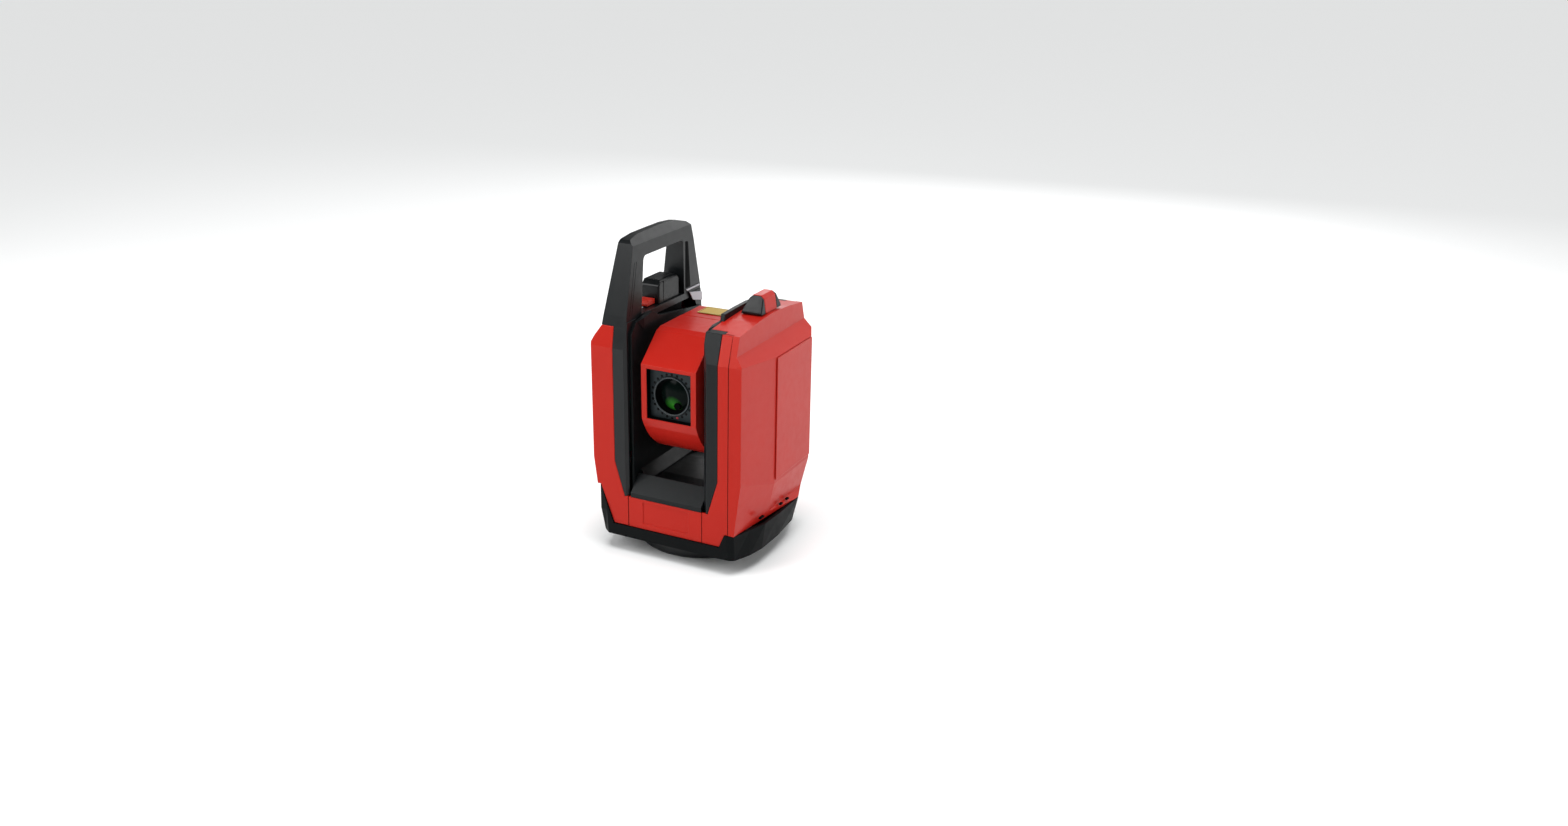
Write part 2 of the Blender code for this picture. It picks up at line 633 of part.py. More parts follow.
def right_cover(side):
    """Black inner cover: cheek plate, front and rear legs and top flange."""
    block = prism("right_inner_cover", side, COVER_X, FLANGE_END_X, "x", BLACK, yaw_axis)
    hollow_side = inset(side, STRIP_T)
    hollow = prism("right_cover_hollow", hollow_side, COVER_X + COVER_T, 0.2, "x")
    far = 0.2
    legs = prism("right_cover_legs", [(LEG_OUT_X, 0.0), (far, 0.0), (far, far + 0.2),
                                      (FLANGE_END_X + 0.001, far + 0.2),
                                      (FLANGE_END_X + 0.001, CROWN_EDGE_Z),
                                      (LEG_OUT_X, CROWN_EDGE_Z)], -far, far, "y")
    middle = box("right_cover_middle", (COVER_X + COVER_T, -FLANGE_Y, 0.06),
                 (far, FLANGE_Y, 0.31))
    foot = prism("right_cover_foot", [(0.0, 0.0), (far, 0.0), (far, LEG_KINK_Z),
                                      (LEG_OUT_X, LEG_KINK_Z), (LEG_FOOT_X, LEG_FOOT_Z),
                                      (0.0, LEG_FOOT_Z)], -far, far, "y")
    axle = rod("right_cover_axle", AXLE_R + RUN, 0.0, 0.1, centre=TILT_CENTRE, axis="x")
    chamfers = chamfer_pair("right_cover", 1)
    cut(block, hollow, legs, middle, foot, *chamfers)
    start, stop = RIDGE_Y
    crest = [(start, LEAN_Z), (stop, LEAN_Z), (stop, CROWN_Z - 0.0060),
             (stop - 0.0050, RIDGE_TOP_Z - 0.0030), (0.0150, RIDGE_TOP_Z),
             (-0.0150, RIDGE_TOP_Z), (start + 0.0030, RIDGE_TOP_Z - 0.0010),
             (start, CROWN_Z - 0.0060)]
    boolean(block, prism("right_cover_ridge", crest, COVER_X, RIDGE_X, "x"), "UNION")
    cut(block, prism("right_cover_ridge_foot",
                     [(start - 0.01, LEAN_Z - 0.01), (stop + 0.01, LEAN_Z - 0.01),
                      (stop + 0.01, CROWN_Z - 0.0160), (start - 0.01, CROWN_Z - 0.0160)],
                     COVER_X + COVER_T, 0.2, "x"))
    boolean(block, cheek_pad("right_cover_pad", 1), "UNION")
    cut(block, axle)


def cheek_pad(name, side):
    """Raised pad on a cheek: a low block with slopes on all four sides."""
    back = COVER_X + COVER_T / 2
    reach = PAD_SLOPE * (back - PAD_X) / (COVER_X - PAD_X)
    low, high = PAD_Z
    mesh = prism_mesh(name, [(-PAD_Y - reach, low - reach), (PAD_Y + reach, low - reach),
                             (PAD_Y + reach, high + reach), (-PAD_Y - reach, high + reach)],
                      PAD_X, back, "x")
    for y, z in ((PAD_Y, 0), (-PAD_Y, 0), (0, low), (0, high)):
        if y:
            edge = [(PAD_X, y, 0), (PAD_X, y, 1), (back, y + (1 if y > 0 else -1) * reach, 0)]
        else:
            away = 1 if z == high else -1
            edge = [(PAD_X, 0, z), (PAD_X, 1, z), (back, 0, z + away * reach)]
        outside = (0, y, 0) if y else (0, 0, z - (low + high) / 2)
        trim(mesh, *plane_through(*edge, outside))
    if side < 0:
        flip_x(mesh)
    return link(name, mesh, None, None)


def chamfer_pair(name, side):
    """Cutters for the chamfers from the legs' fronts into the head space."""
    far = 0.2
    depth = 0.0070
    pieces = []
    for end, label in ((-1, "front"), (1, "rear")):
        edge = end * HALF_DEPTH
        inner = end * (HALF_DEPTH - depth)
        outline = [(side * LEG_IN_X, edge), (side * COVER_X, inner), (0.0, inner),
                   (0.0, end * far), (side * (LEG_IN_X + (far - HALF_DEPTH) / 2), end * far),
                   (side * LEG_IN_X, edge + end * 0.0001)]
        if side * end > 0:
            outline.reverse()
        pieces.append(prism(f"{name}_{label}_chamfer", outline, 0.0, 0.5, "z"))
    return pieces


def side_cover(name, side):
    """Thin panel on the flat side wall, with a bevelled edge."""
    low_y, high_y = SIDE_FRONT_Y + 0.0010, SIDE_REAR_Y - 0.0010
    low_z, high_z = SIDE_COVER_Z
    outline = [(low_y, low_z), (high_y, low_z), (high_y, high_z), (low_y, high_z)]
    start = SIDE_X + GAP
    panel = prism(name, outline, start, start + SIDE_COVER_T, "x", RED, yaw_axis)
    if side < 0:
        flip_x(panel.data)


def build_left_yoke():
    """Left red shell with its inner cheek and side cover."""
    outline = left_front_outline()
    side = left_side_outline()
    mesh = yoke_mesh("left_yoke_shell", outline, side, 0.0)
    flip_x(mesh)
    shell = link("left_yoke_shell", mesh, RED, yaw_axis)
    wall_side = [(-HALF_DEPTH + WALL, -0.01), (HALF_DEPTH - WALL, -0.01)] + inset(side, WALL)[2:]
    hollow_outline = [(0.0, -0.01), (SIDE_X - WALL, -0.01), (SIDE_X - WALL, SHOULDER_Z),
                      (LEFT_TOP_X - WALL, LEFT_TOP_Z - WALL), (0.0, LEFT_TOP_Z - WALL)]
    void_mesh = yoke_mesh("left_yoke_void", hollow_outline, wall_side, WALL)
    flip_x(void_mesh)
    void = link("left_yoke_void", void_mesh, None, None)
    leg = prism("left_leg_space", mirrored(leg_outline(GAP)), -0.2, 0.2, "y")
    well = box("left_well_space",
               (BATTERY_X[0] - WELL_WALL - 0.0014, BATTERY_Y[0] - WELL_WALL - 0.0014, 0.26),
               (0.0, BATTERY_Y[1] + WELL_WALL + 0.0014, 0.29))
    cut(shell, void, leg, well)
    side_cover("left_side_cover", -1)

    top_y = HALF_DEPTH - 0.0090
    outline = [(-top_y, LEG_FOOT_Z), (top_y, LEG_FOOT_Z), (top_y, 0.2640), (-0.0220, 0.2780),
               (-0.0410, 0.2872), (-0.0720, 0.2820), (-top_y, 0.2700)]
    cheek = prism("left_inner_cheek", outline, -COVER_X - COVER_T, -COVER_X, "x", BLACK,
                  yaw_axis)
    pad = cheek_pad("left_cheek_pad", -1)
    boolean(pad, prism("left_cheek_limit", outline, -0.2, 0.0, "x"), "INTERSECT")
    boolean(cheek, pad, "UNION")
    axle = rod("left_cheek_axle", AXLE_R + RUN, -0.1, 0.0, centre=TILT_CENTRE, axis="x")
    cut(cheek, axle)


# ---------------------------------------------------------------- handle
def handle_outline():
    """Outer side view of the handle: (y, z), anticlockwise."""
    foot_z = LEFT_TOP_Z + GAP
    front = -left_lean_y(foot_z)
    top = HANDLE_TOP_Z
    return [(front, foot_z), (-front, foot_z), (0.0880, 0.2880), (0.0713, 0.3510),
            (0.0655, 0.3685), (0.0600, top - 0.0052), (0.0440, top - 0.0020),
            (0.0200, top), (-0.0100, top), (-0.0430, top - 0.0005),
            (-0.0595, top - 0.0025), (-0.0650, top - 0.0034), (-0.0690, top - 0.0070),
            (-0.0860, 0.2900)]


def opening_outline():
    """Hand opening of the handle: (y, z), anticlockwise."""
    radius = 0.0060
    top = GRIP_BOTTOM_Z
    rear = arc((0.0455 - radius, top - radius), radius, 0.0, pi / 2, 4)
    front = arc((-0.0470 + radius, top - radius), radius, pi / 2, pi - 0.12, 4)
    return [(-0.0530, DECK_Z), (0.0475, DECK_Z)] + rear + front


def build_handle():
    """Handle frame: grip loop over the left yoke and the two legs beside the head."""
    handle = prism("handle_frame", handle_outline(), HANDLE_OUT_X, HANDLE_IN_X, "x", BLACK,
                   yaw_axis)
    foot = LEFT_TOP_Z
    outer = plane_through((HANDLE_OUT_X, 0, foot), (HANDLE_OUT_X, 1, foot),
                          (HANDLE_TOP_OUT_X, 0, HANDLE_TOP_Z), (-1, 0, foot))
    trim(handle.data, *outer)
    ridge = plane_through((-0.0620, 0, HANDLE_TOP_Z), (-0.0620, 1, HANDLE_TOP_Z),
                          (HANDLE_IN_X, 0, 0.3690), (0, 0, HANDLE_TOP_Z))
    trim(handle.data, *ridge)
    opening = prism("handle_opening", opening_outline(), -0.2, 0.0, "x")
    leg_back = 0.0050
    for end, label in ((-1, "front"), (1, "rear")):
        low_y, high_y = sorted((end * HALF_DEPTH, end * (HALF_DEPTH - leg_back)))
        top_z = LEFT_TOP_Z + 0.0060
        lean = HALF_DEPTH - left_lean_y(top_z) + GAP
        outline = [(end * HALF_DEPTH, LEG_FOOT_Z), (end * HALF_DEPTH, LEAN_Z),
                   (end * (HALF_DEPTH - lean), top_z),
                   (end * (HALF_DEPTH - lean - 0.0200), top_z),
                   (end * (HALF_DEPTH - leg_back - lean), LEAN_Z),
                   (end * (HALF_DEPTH - leg_back), LEG_FOOT_Z)]
        if end < 0:
            outline.reverse()
        leg = prism(f"handle_leg_{label}", outline, -LEG_OUT_X, -COVER_X - COVER_T - GAP, "x")
        boolean(handle, leg, "UNION")
    space = prism("handle_leg_foot", mirrored([(0.0, 0.0), (0.2, 0.0), (0.2, LEG_KINK_Z),
                                               (LEG_OUT_X, LEG_KINK_Z),
                                               (LEG_FOOT_X, LEG_FOOT_Z), (0.0, LEG_FOOT_Z)]),
                  -0.2, 0.2, "y")
    well = box("handle_well_space",
               (BATTERY_X[0] - BATTERY_PLAY, BATTERY_Y[0] - BATTERY_PLAY, 0.26),
               (BATTERY_X[1] + BATTERY_PLAY, BATTERY_Y[1] + BATTERY_PLAY, 0.30))
    cut(handle, opening, space, well, *chamfer_pair("handle", -1))


def build_battery():
    """Battery pack in its well, with contacts, release tab and grey catch."""
    low = (BATTERY_X[0], BATTERY_Y[0], BATTERY_Z[0])
    high = (BATTERY_X[1], BATTERY_Y[1], BATTERY_Z[1])
    chamfer = 0.0060
    outline = [(low[1], low[2]), (high[1], low[2]), (high[1], high[2] - chamfer),
               (high[1] - chamfer, high[2]), (low[1] + chamfer, high[2]),
               (low[1], high[2] - chamfer)]
    pack = prism("battery_pack", outline, low[0], high[0], "x", BLACK, battery_axis)
    edge = plane_through((high[0] - 0.0040, 0, high[2]), (high[0] - 0.0040, 1, high[2]),
                         (high[0], 0, high[2] - 0.0030), (0, 0, high[2] + 0.01))
    trim(pack.data, *edge)

    play = BATTERY_PLAY
    floor_z = low[2] - 0.0070
    well = box("battery_well",
               (low[0] - play - WELL_WALL, low[1] - play - WELL_WALL, floor_z),
               (high[0] + play + WELL_WALL - 0.0008, high[1] + play + WELL_WALL,
                LEFT_TOP_Z - GAP), BLACK, yaw_axis)
    hollow = box("battery_well_hollow", (low[0] - play, low[1] - play, floor_z + WELL_WALL),
                 (high[0] + play, high[1] + play, 0.30))
    cut(well, hollow)
    box("battery_contacts", (low[0] + 0.0040, low[1] + 0.0100, floor_z + WELL_WALL + GAP),
        (high[0] - 0.0040, high[1] - 0.0100, low[2] - GAP), BRASS, yaw_axis)

    tab_z = DECK_Z + 0.0008
    outline = [(-0.0270, tab_z), (low[1] - 0.0010, tab_z), (low[1] - 0.0010, tab_z + 0.0062),
               (-0.0240, tab_z + 0.0062), (-0.0270, tab_z + 0.0030)]
    prism("battery_release_tab", outline, low[0] + 0.0030, high[0] - 0.0050, "x", RED,
          release_axis)
    box("battery_catch_plate", (low[0] + 0.0050, -0.0400, DECK_Z + GAP),
        (high[0] - 0.0080, -0.0310, DECK_Z + 0.0016), GREY, yaw_axis)

    clip_x = -COVER_X - COVER_T
    outline = [(0.0640, 0.2750), (0.0880, 0.2690), (0.0870, 0.2800), (0.0560, 0.2865)]
    prism("handle_clip_plate", outline, clip_x, clip_x + 0.0016, "x", GREY, yaw_axis)
    clip_x = HANDLE_IN_X + GAP
    outline = [(0.0530, 0.2885), (0.0840, 0.2885), (0.0835, 0.2905), (0.0500, 0.2905)]
    prism("handle_clip_strip", outline, clip_x, clip_x + 0.0012, "x", GREY, yaw_axis)


# ---------------------------------------------------------------- antenna
def antenna_section(depth, drop=0.0):
    """Trapezoid seen from the front, moved inward by depth: (x, z).

    Drop lowers its foot and carries the sloping sides on down.
    """
    low_x, high_x = ANTENNA_X
    top_low, top_high = ANTENNA_TOP_X
    low_z, high_z = ANTENNA_Z
    knee_z = high_z - 0.0040
    knee_low, knee_high = top_low - 0.0010, top_high + 0.0010
    spread = drop / (knee_z - low_z)
    foot_low = low_x - (knee_low - low_x) * spread
    foot_high = high_x + (high_x - knee_high) * spread
    return [(foot_low + depth, low_z - drop), (foot_high - depth, low_z - drop),
            (knee_high - depth, knee_z), (top_high - 0.0030 - depth, high_z - depth),
            (top_low + 0.0030 + depth, high_z - depth), (knee_low + depth, knee_z)]


def build_antenna():
    """Radio housing on the right yoke: black core, red saddle and its board."""
    core = prism("antenna_core", antenna_section(SADDLE_T + GAP), *ANTENNA_Y, "y", BLACK,
                 yaw_axis)
    slope = 0.0110
    low_z, high_z = ANTENNA_Z
    for end, label, start, stop in ((-1, "front", ANTENNA_Y[0], SADDLE_Y[0] - GAP),
                                    (1, "rear", SADDLE_Y[1] + GAP, ANTENNA_Y[1])):
        block = prism(f"antenna_end_{label}", antenna_section(0.0), start, stop, "y")
        boolean(core, block, "UNION")
        edge = ANTENNA_Y[0] if end < 0 else ANTENNA_Y[1]
        wedge = [(edge - end * slope, high_z + 0.001), (edge, low_z + 0.0030),
                 (edge + end * 0.02, low_z + 0.0030), (edge + end * 0.02, high_z + 0.001)]
        if end < 0:
            wedge.reverse()
        cut(core, prism(f"antenna_slope_{label}", wedge, 0.0, 0.2, "x"))
    pocket = box("antenna_pocket", (0.0680, -0.0040, low_z - 0.01), (0.0800, 0.0160, low_z + 0.0140))
    cut(core, pocket)
    saddle = prism("antenna_saddle", antenna_section(0.0), *SADDLE_Y, "y", RED, yaw_axis)
    cut(saddle, prism("antenna_saddle_inner", antenna_section(SADDLE_T, 0.01), -0.1, 0.1, "y"))
    box("antenna_board", (0.0730, -0.0030, low_z + 0.0005), (0.0742, 0.0150, low_z + 0.0120),
        BOARD, yaw_axis)


# ---------------------------------------------------------------- lower housing
def build_lower_housing():
    """Front and rear centre panels, trough under the head, power button, screws."""
    low_z, high_z = NOTCH_Z + GAP, LEG_FOOT_Z - GAP
    for end, label in ((-1, "front"), (1, "rear")):
        low_y, high_y = sorted((end * HALF_DEPTH, end * (HALF_DEPTH - STRIP_T)))
        panel = box(f"{label}_centre_panel", (-COVER_X - COVER_T, low_y, low_z),
                    (SEAM_RIGHT_X, high_y, high_z), RED, yaw_axis)
        sink = 0.0008
        face = end * (HALF_DEPTH - sink)
        low_y, high_y = sorted((face, end * 0.2))
        recess = box(f"{label}_panel_recess", (-0.0310, low_y, low_z + 0.0070),
                     (0.0300, high_y, high_z - 0.0035))
        cut(panel, recess)
        if end > 0:
            cut(panel, rod("power_button_hole", BUTTON_R + 0.0004, -0.2, 0.0,
                           centre=(0, 0, BUTTON_Z), axis="y"))
    rod("power_button", BUTTON_R, -HALF_DEPTH - 0.0008, -HALF_DEPTH + 0.0050, BLACK, power_axis,
        centre=(0, 0, BUTTON_Z), axis="y")
    box("power_switch", (-0.0040, HALF_DEPTH - 0.0120, BUTTON_Z - 0.0040),
        (0.0040, HALF_DEPTH - 0.0070, BUTTON_Z + 0.0040), BOARD, yaw_axis)

    half = [(HALF_DEPTH, LEG_FOOT_Z), (HALF_DEPTH, LEDGE_Z), (LEDGE_TOP_Y, LEDGE_TOP_Z),
            (LEDGE_TOP_Y - 0.0040, LEDGE_TOP_Z - 0.0040), (LEDGE_TOP_Y - 0.0060, TROUGH_Z),
            (0.0300, TROUGH_CROWN_Z - 0.0020)]
    under = [(0.0300, TROUGH_CROWN_Z - 0.0060), (LEDGE_TOP_Y - 0.0020, TROUGH_Z - 0.0050),
             (HALF_DEPTH - 0.0050, LEG_FOOT_Z)]
    outline = (half + [(-y, z) for y, z in reversed(half)]
               + [(-y, z) for y, z in reversed(under)] + under)
    trough = prism("trough_cover", outline, -COVER_X + GAP, COVER_X - GAP, "x", BLACK, yaw_axis)
    for side, label in ((-1, "left"), (1, "right")):
        edge_x = COVER_X - 2 * GAP
        foot_z = TROUGH_Z - 0.0100
        ramp = [(edge_x - RAMP_W, foot_z), (edge_x, foot_z),
                (edge_x, RAMP_Z), (edge_x - RAMP_W, TROUGH_CROWN_Z)]
        mesh = prism_mesh(f"trough_ramp_{label}", ramp, -LEDGE_TOP_Y + 0.0045,
                          LEDGE_TOP_Y - 0.0045, "y")
        if side < 0:
            flip_x(mesh)
        boolean(trough, link(f"trough_ramp_{label}", mesh, None, None), "UNION", "MANIFOLD")

    for i, x in enumerate((-0.0420, 0.0420)):
        for j, z in enumerate((low_z + 0.0060, high_z - 0.0060)):
            rod(f"rear_screw_{2 * i + j + 1}", SCREW_R, -HALF_DEPTH - 0.0015,
                -HALF_DEPTH - GAP, STEEL, yaw_axis, centre=(x, 0, z), axis="y", sides=12)


# ---------------------------------------------------------------- head
def head_outline():
    """Side view of the head about the tilt axis: (y, z), anticlockwise."""
    low_angle = atan2(-0.0325, HEAD_FRONT_Y)
    bottom = arc((0, 0), HEAD_R, -pi - low_angle, low_angle, 18)
    top = [(HEAD_FRONT_Y, 0.0345), (0.0560, 0.0685), (-0.0380, 0.0675), (-0.0470, 0.0645),
           (-HEAD_FRONT_Y, 0.0335)]
    return [(y, z + TILT_Z) for y, z in bottom + top]


def build_head():
    """Optical head: two shells, window, lens, tube, laser, boards, axles, label."""
    outline = head_outline()
    inner = inset(outline, WALL)
    window_y = -HEAD_FRONT_Y + WINDOW_DEPTH
    plate_t = 0.0030
    far = 0.2
    ranges = (("head_front_shell", -far, HEAD_SPLIT_Y - GAP / 2, window_y + plate_t + GAP, far),
              ("head_rear_shell", HEAD_SPLIT_Y + GAP / 2, far, -far, far))
    for name, keep_low, keep_high, void_low, void_high in ranges:
        mesh = prism_mesh(name, outline, -HEAD_HALF_W, HEAD_HALF_W, "x")
        trim(mesh, Vector((0, keep_low, 0)), Vector((0, -1, 0)))
        trim(mesh, Vector((0, keep_high, 0)), Vector((0, 1, 0)))
        shell = link(name, mesh, RED, tilt_axis)
        void_mesh = prism_mesh(f"{name}_void", inner, -HEAD_HALF_W + WALL, HEAD_HALF_W - WALL,
                               "x")
        trim(void_mesh, Vector((0, void_low, 0)), Vector((0, -1, 0)))
        trim(void_mesh, Vector((0, void_high, 0)), Vector((0, 1, 0)))
        cut(shell, link(f"{name}_void", void_mesh, None, None))
        if name == "head_front_shell":
            window = box("window_hole",
                         (-WINDOW_HALF_W, -far, WINDOW_Z - WINDOW_HALF_H),
                         (WINDOW_HALF_W, -0.05, WINDOW_Z + WINDOW_HALF_H))
            bore = rod("head_axle_bore", AXLE_R + GAP, -0.1, 0.1, centre=TILT_CENTRE, axis="x")
            cut(shell, window, bore)

    plate = box("window_plate",
                (-WINDOW_HALF_W + GAP, window_y, WINDOW_Z - WINDOW_HALF_H + GAP),
                (WINDOW_HALF_W - GAP, window_y + plate_t, WINDOW_Z + WINDOW_HALF_H - GAP),
                BLACK, tilt_axis)
    optic_centre = (0, 0, OPTIC_Z)
    ring_r = LENS_R + LENS_RING_WALL
    hole = rod("window_plate_hole", ring_r + GAP, -0.1, 0.1, centre=optic_centre, axis="y",
               sides=SEGMENTS)
    cut(plate, hole)
    ring("lens_ring", LENS_R + GAP, ring_r, -window_y - 0.0060, -window_y + 0.0020, BLACK,
         tilt_axis, optic_centre, "y", SEGMENTS)
    crown = 0.0025
    lens_y = -window_y - 0.0050
    curve = [(LENS_R * i / 4, lens_y + 0.0040 + crown * (1 - (i / 4) ** 2)) for i in range(5)]
    turned("objective_lens", curve + [(LENS_R, lens_y), (0.0, lens_y)], GLASS, tilt_axis,
           optic_centre, "y", SEGMENTS)
    tube_front = -window_y - 0.0063
    ring("lens_tube", TUBE_R - 0.0020, TUBE_R, 0.0, tube_front, BLACK, tilt_axis,
         optic_centre, "y", 32)
    rod("laser_module", 0.0120, -0.0360, -0.0040, BRASS, tilt_axis, optic_centre, "y")
    box("camera_board", (-0.0240, 0.0420, TILT_Z - 0.0300), (0.0240, 0.0436, TILT_Z + 0.0300),
        BOARD, tilt_axis)
    box("head_label", (-0.0230, 0.0270, TILT_Z + 0.0685 + GAP),
        (0.0100, 0.0540, TILT_Z + 0.0685 + GAP + 0.0005), YELLOW, tilt_axis)

    inner_end = HEAD_HALF_W - 0.0080
    for side, name in ((-1, "left"), (1, "right")):
        low_x, high_x = sorted((side * inner_end, side * AXLE_END_X))
        rod(f"tilt_axle_{name}", AXLE_R, low_x, high_x, STEEL, tilt_axis, TILT_CENTRE, "x")
    start = CHASSIS_IN_X + CHASSIS_T + 0.0010
    ring("tilt_rotor", AXLE_R + GAP, 0.0262, start, start + 0.0070, STEEL, tilt_axis,
         TILT_CENTRE, "x", 32)
    ring("tilt_encoder_disc", AXLE_R + GAP, 0.0250, -start - 0.0040, -start - 0.0028, GLASS,
         tilt_axis, TILT_CENTRE, "x", 32)


build_base()
build_turning_core()
build_boot()
build_right_yoke()
build_left_yoke()
build_handle()
build_battery()
build_antenna()
build_lower_housing()
build_head()
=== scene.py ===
"""Looks of a robotic layout station: finishes, fine shapes, light and camera.

Lengths are in metres.  X runs to the instrument's right, Y away from its window
side and Z up, as in the frame that is loaded first.
"""
from __future__ import annotations

import json
import logging
import math
from dataclasses import dataclass, field
from enum import Enum
from typing import Sequence

import bmesh
import bpy
import numpy as np
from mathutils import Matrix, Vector


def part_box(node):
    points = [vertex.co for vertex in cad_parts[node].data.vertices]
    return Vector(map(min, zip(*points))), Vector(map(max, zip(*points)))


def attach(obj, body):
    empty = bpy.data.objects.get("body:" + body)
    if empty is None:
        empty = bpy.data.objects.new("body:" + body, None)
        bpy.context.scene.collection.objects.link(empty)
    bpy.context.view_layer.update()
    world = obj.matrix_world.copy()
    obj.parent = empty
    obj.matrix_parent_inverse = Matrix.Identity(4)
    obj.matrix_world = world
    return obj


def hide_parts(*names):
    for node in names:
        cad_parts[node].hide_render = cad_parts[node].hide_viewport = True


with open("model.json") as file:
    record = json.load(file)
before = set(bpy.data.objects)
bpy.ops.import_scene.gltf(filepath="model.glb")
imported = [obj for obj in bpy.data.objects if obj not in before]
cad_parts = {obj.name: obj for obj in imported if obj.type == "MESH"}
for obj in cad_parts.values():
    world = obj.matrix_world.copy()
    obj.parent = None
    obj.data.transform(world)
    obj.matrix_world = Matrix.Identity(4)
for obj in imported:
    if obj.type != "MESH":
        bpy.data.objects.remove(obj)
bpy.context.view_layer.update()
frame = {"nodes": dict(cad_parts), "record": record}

MM = 0.001
ROUNDED_ANGLE = 20.0       # outward edges sharper than this are rounded
FLAT_ANGLE = 0.05          # faces closer than this, in degrees, are one flat face
WELD = 0.002 * MM          # points closer than this are one point
DRIFT_MM = 60              # size of the broad drifts of colour on mouldings
GLOSS_MM = 9               # size of their drifts of gloss
SEAM_GAP = 0.15 * MM       # from a panel's edge to the middle of the joint beside it
LOG = logging.getLogger("layout_station")
Array = np.ndarray


# ------------------------------------------------------------------ colours and nodes
def linear(hex_code: str) -> tuple[float, float, float, float]:
    """Turn an sRGB hex colour into linear red, green, blue and full alpha.

    Args:
        hex_code: Colour such as "#B52025".

    Returns:
        Four linear values.
    """
    parts = np.array([int(hex_code[i:i + 2], 16) for i in (1, 3, 5)]) / 255.0
    low = parts / 12.92
    high = ((parts + 0.055) / 1.055) ** 2.4
    red, green, blue = np.where(parts <= 0.04045, low, high)
    return float(red), float(green), float(blue), 1.0


def add_node(tree: bpy.types.NodeTree, kind: str, inputs: dict | None = None,
             **settings: object) -> bpy.types.Node:
    """Add one shader node, set it up and link it.

    Args:
        tree: Node tree that takes the node.
        kind: Blender's node type name.
        inputs: Socket name or number to a value, or to an output socket.
        settings: Properties of the node itself.

    Returns:
        The new node.
    """
    node = tree.nodes.new(kind)
    for name, value in settings.items():
        setattr(node, name, value)
    for key, value in (inputs or {}).items():
        if isinstance(value, bpy.types.NodeSocket):
            tree.links.new(value, node.inputs[key])
        else:
            node.inputs[key].default_value = value
    return node


def start_material(name: str, values: dict) -> bpy.types.Material:
    """Make a material whose surface shader starts with these values.

    Args:
        name: Name of the material.
        values: Socket name of the surface shader to its value.

    Returns:
        The new material.
    """
    mat = bpy.data.materials.new(name)
    mat.use_nodes = True
    for key, value in values.items():
        mat.node_tree.nodes["Principled BSDF"].inputs[key].default_value = value
    return mat


def feed(mat: bpy.types.Material, socket: str, source: bpy.types.NodeSocket) -> None:
    """Link an output to an input of the material's surface shader."""
    mat.node_tree.links.new(source, mat.node_tree.nodes["Principled BSDF"].inputs[socket])


def object_space(mat: bpy.types.Material) -> bpy.types.NodeSocket:
    """Output that gives the place on the object."""
    return add_node(mat.node_tree, "ShaderNodeTexCoord").outputs["Object"]


def noise(place: bpy.types.NodeSocket, size_mm: float, detail: float
          ) -> bpy.types.NodeSocket:
    """Noise over a place, at a size in millimetres."""
    return add_node(place.id_data, "ShaderNodeTexNoise",
                    {"Vector": place, "Scale": 1 / (size_mm * MM), "Detail": detail}
                    ).outputs["Fac"]


def blend(factor: bpy.types.NodeSocket, first: tuple, second: tuple) -> bpy.types.NodeSocket:
    """Colour that goes from the first to the second with the factor."""
    return add_node(factor.id_data, "ShaderNodeMix", {0: factor, 6: first, 7: second},
                    data_type="RGBA").outputs[2]


def ranged(value: bpy.types.NodeSocket, low: float, high: float,
           source: tuple[float, float] = (0.0, 1.0)) -> bpy.types.NodeSocket:
    """Map a value from the source range to low and high.

    Args:
        value: Output to map.
        low: Result at the start of the source range.
        high: Result at its end.
        source: Source range.

    Returns:
        The mapped output.
    """
    return add_node(value.id_data, "ShaderNodeMapRange",
                    {"Value": value, "From Min": source[0], "From Max": source[1],
                     "To Min": low, "To Max": high}).outputs["Result"]


def bumped(height: bpy.types.NodeSocket, strength: float, depth_mm: float
           ) -> bpy.types.NodeSocket:
    """Normal of a surface raised by a height, to a depth in millimetres."""
    return add_node(height.id_data, "ShaderNodeBump",
                    {"Height": height, "Strength": strength, "Distance": depth_mm * MM}
                    ).outputs["Normal"]


@dataclass(frozen=True)
class Moulded:
    """Injection-moulded plastic or rubber with a fine spark-eroded grain.

    The grain breaks the highlight up into a satin sheen, and broad, faint drifts
    of colour and gloss keep large faces from looking flat.
    """

    name: str
    colour: str
    drift: str
    roughness: float
    grain_mm: float = 0.45
    grain_depth: float = 0.012
    gloss_drift: float = 0.05
    ior: float = 1.49
    coat: float = 0.0
    tint: str = "#FFFFFF"
    coat_roughness: float = 0.16
    grain_strength: float = 0.35
    gloss_noise: tuple[float, float] = (0.3, 0.7)

    def build(self) -> bpy.types.Material:
        """Make the material's nodes and return it."""
        mat = start_material(self.name, {
            "IOR": self.ior, "Specular Tint": linear(self.tint), "Coat Weight": self.coat,
            "Coat Roughness": self.coat_roughness})
        place = object_space(mat)
        feed(mat, "Base Color", blend(noise(place, DRIFT_MM, 3.0), linear(self.colour),
                                      linear(self.drift)))
        feed(mat, "Roughness", ranged(noise(place, GLOSS_MM, 4.0),
                                      self.roughness - self.gloss_drift,
                                      self.roughness + self.gloss_drift,
                                      self.gloss_noise))
        feed(mat, "Normal", bumped(noise(place, self.grain_mm, 2.0), self.grain_strength,
                                   self.grain_depth))
        return mat


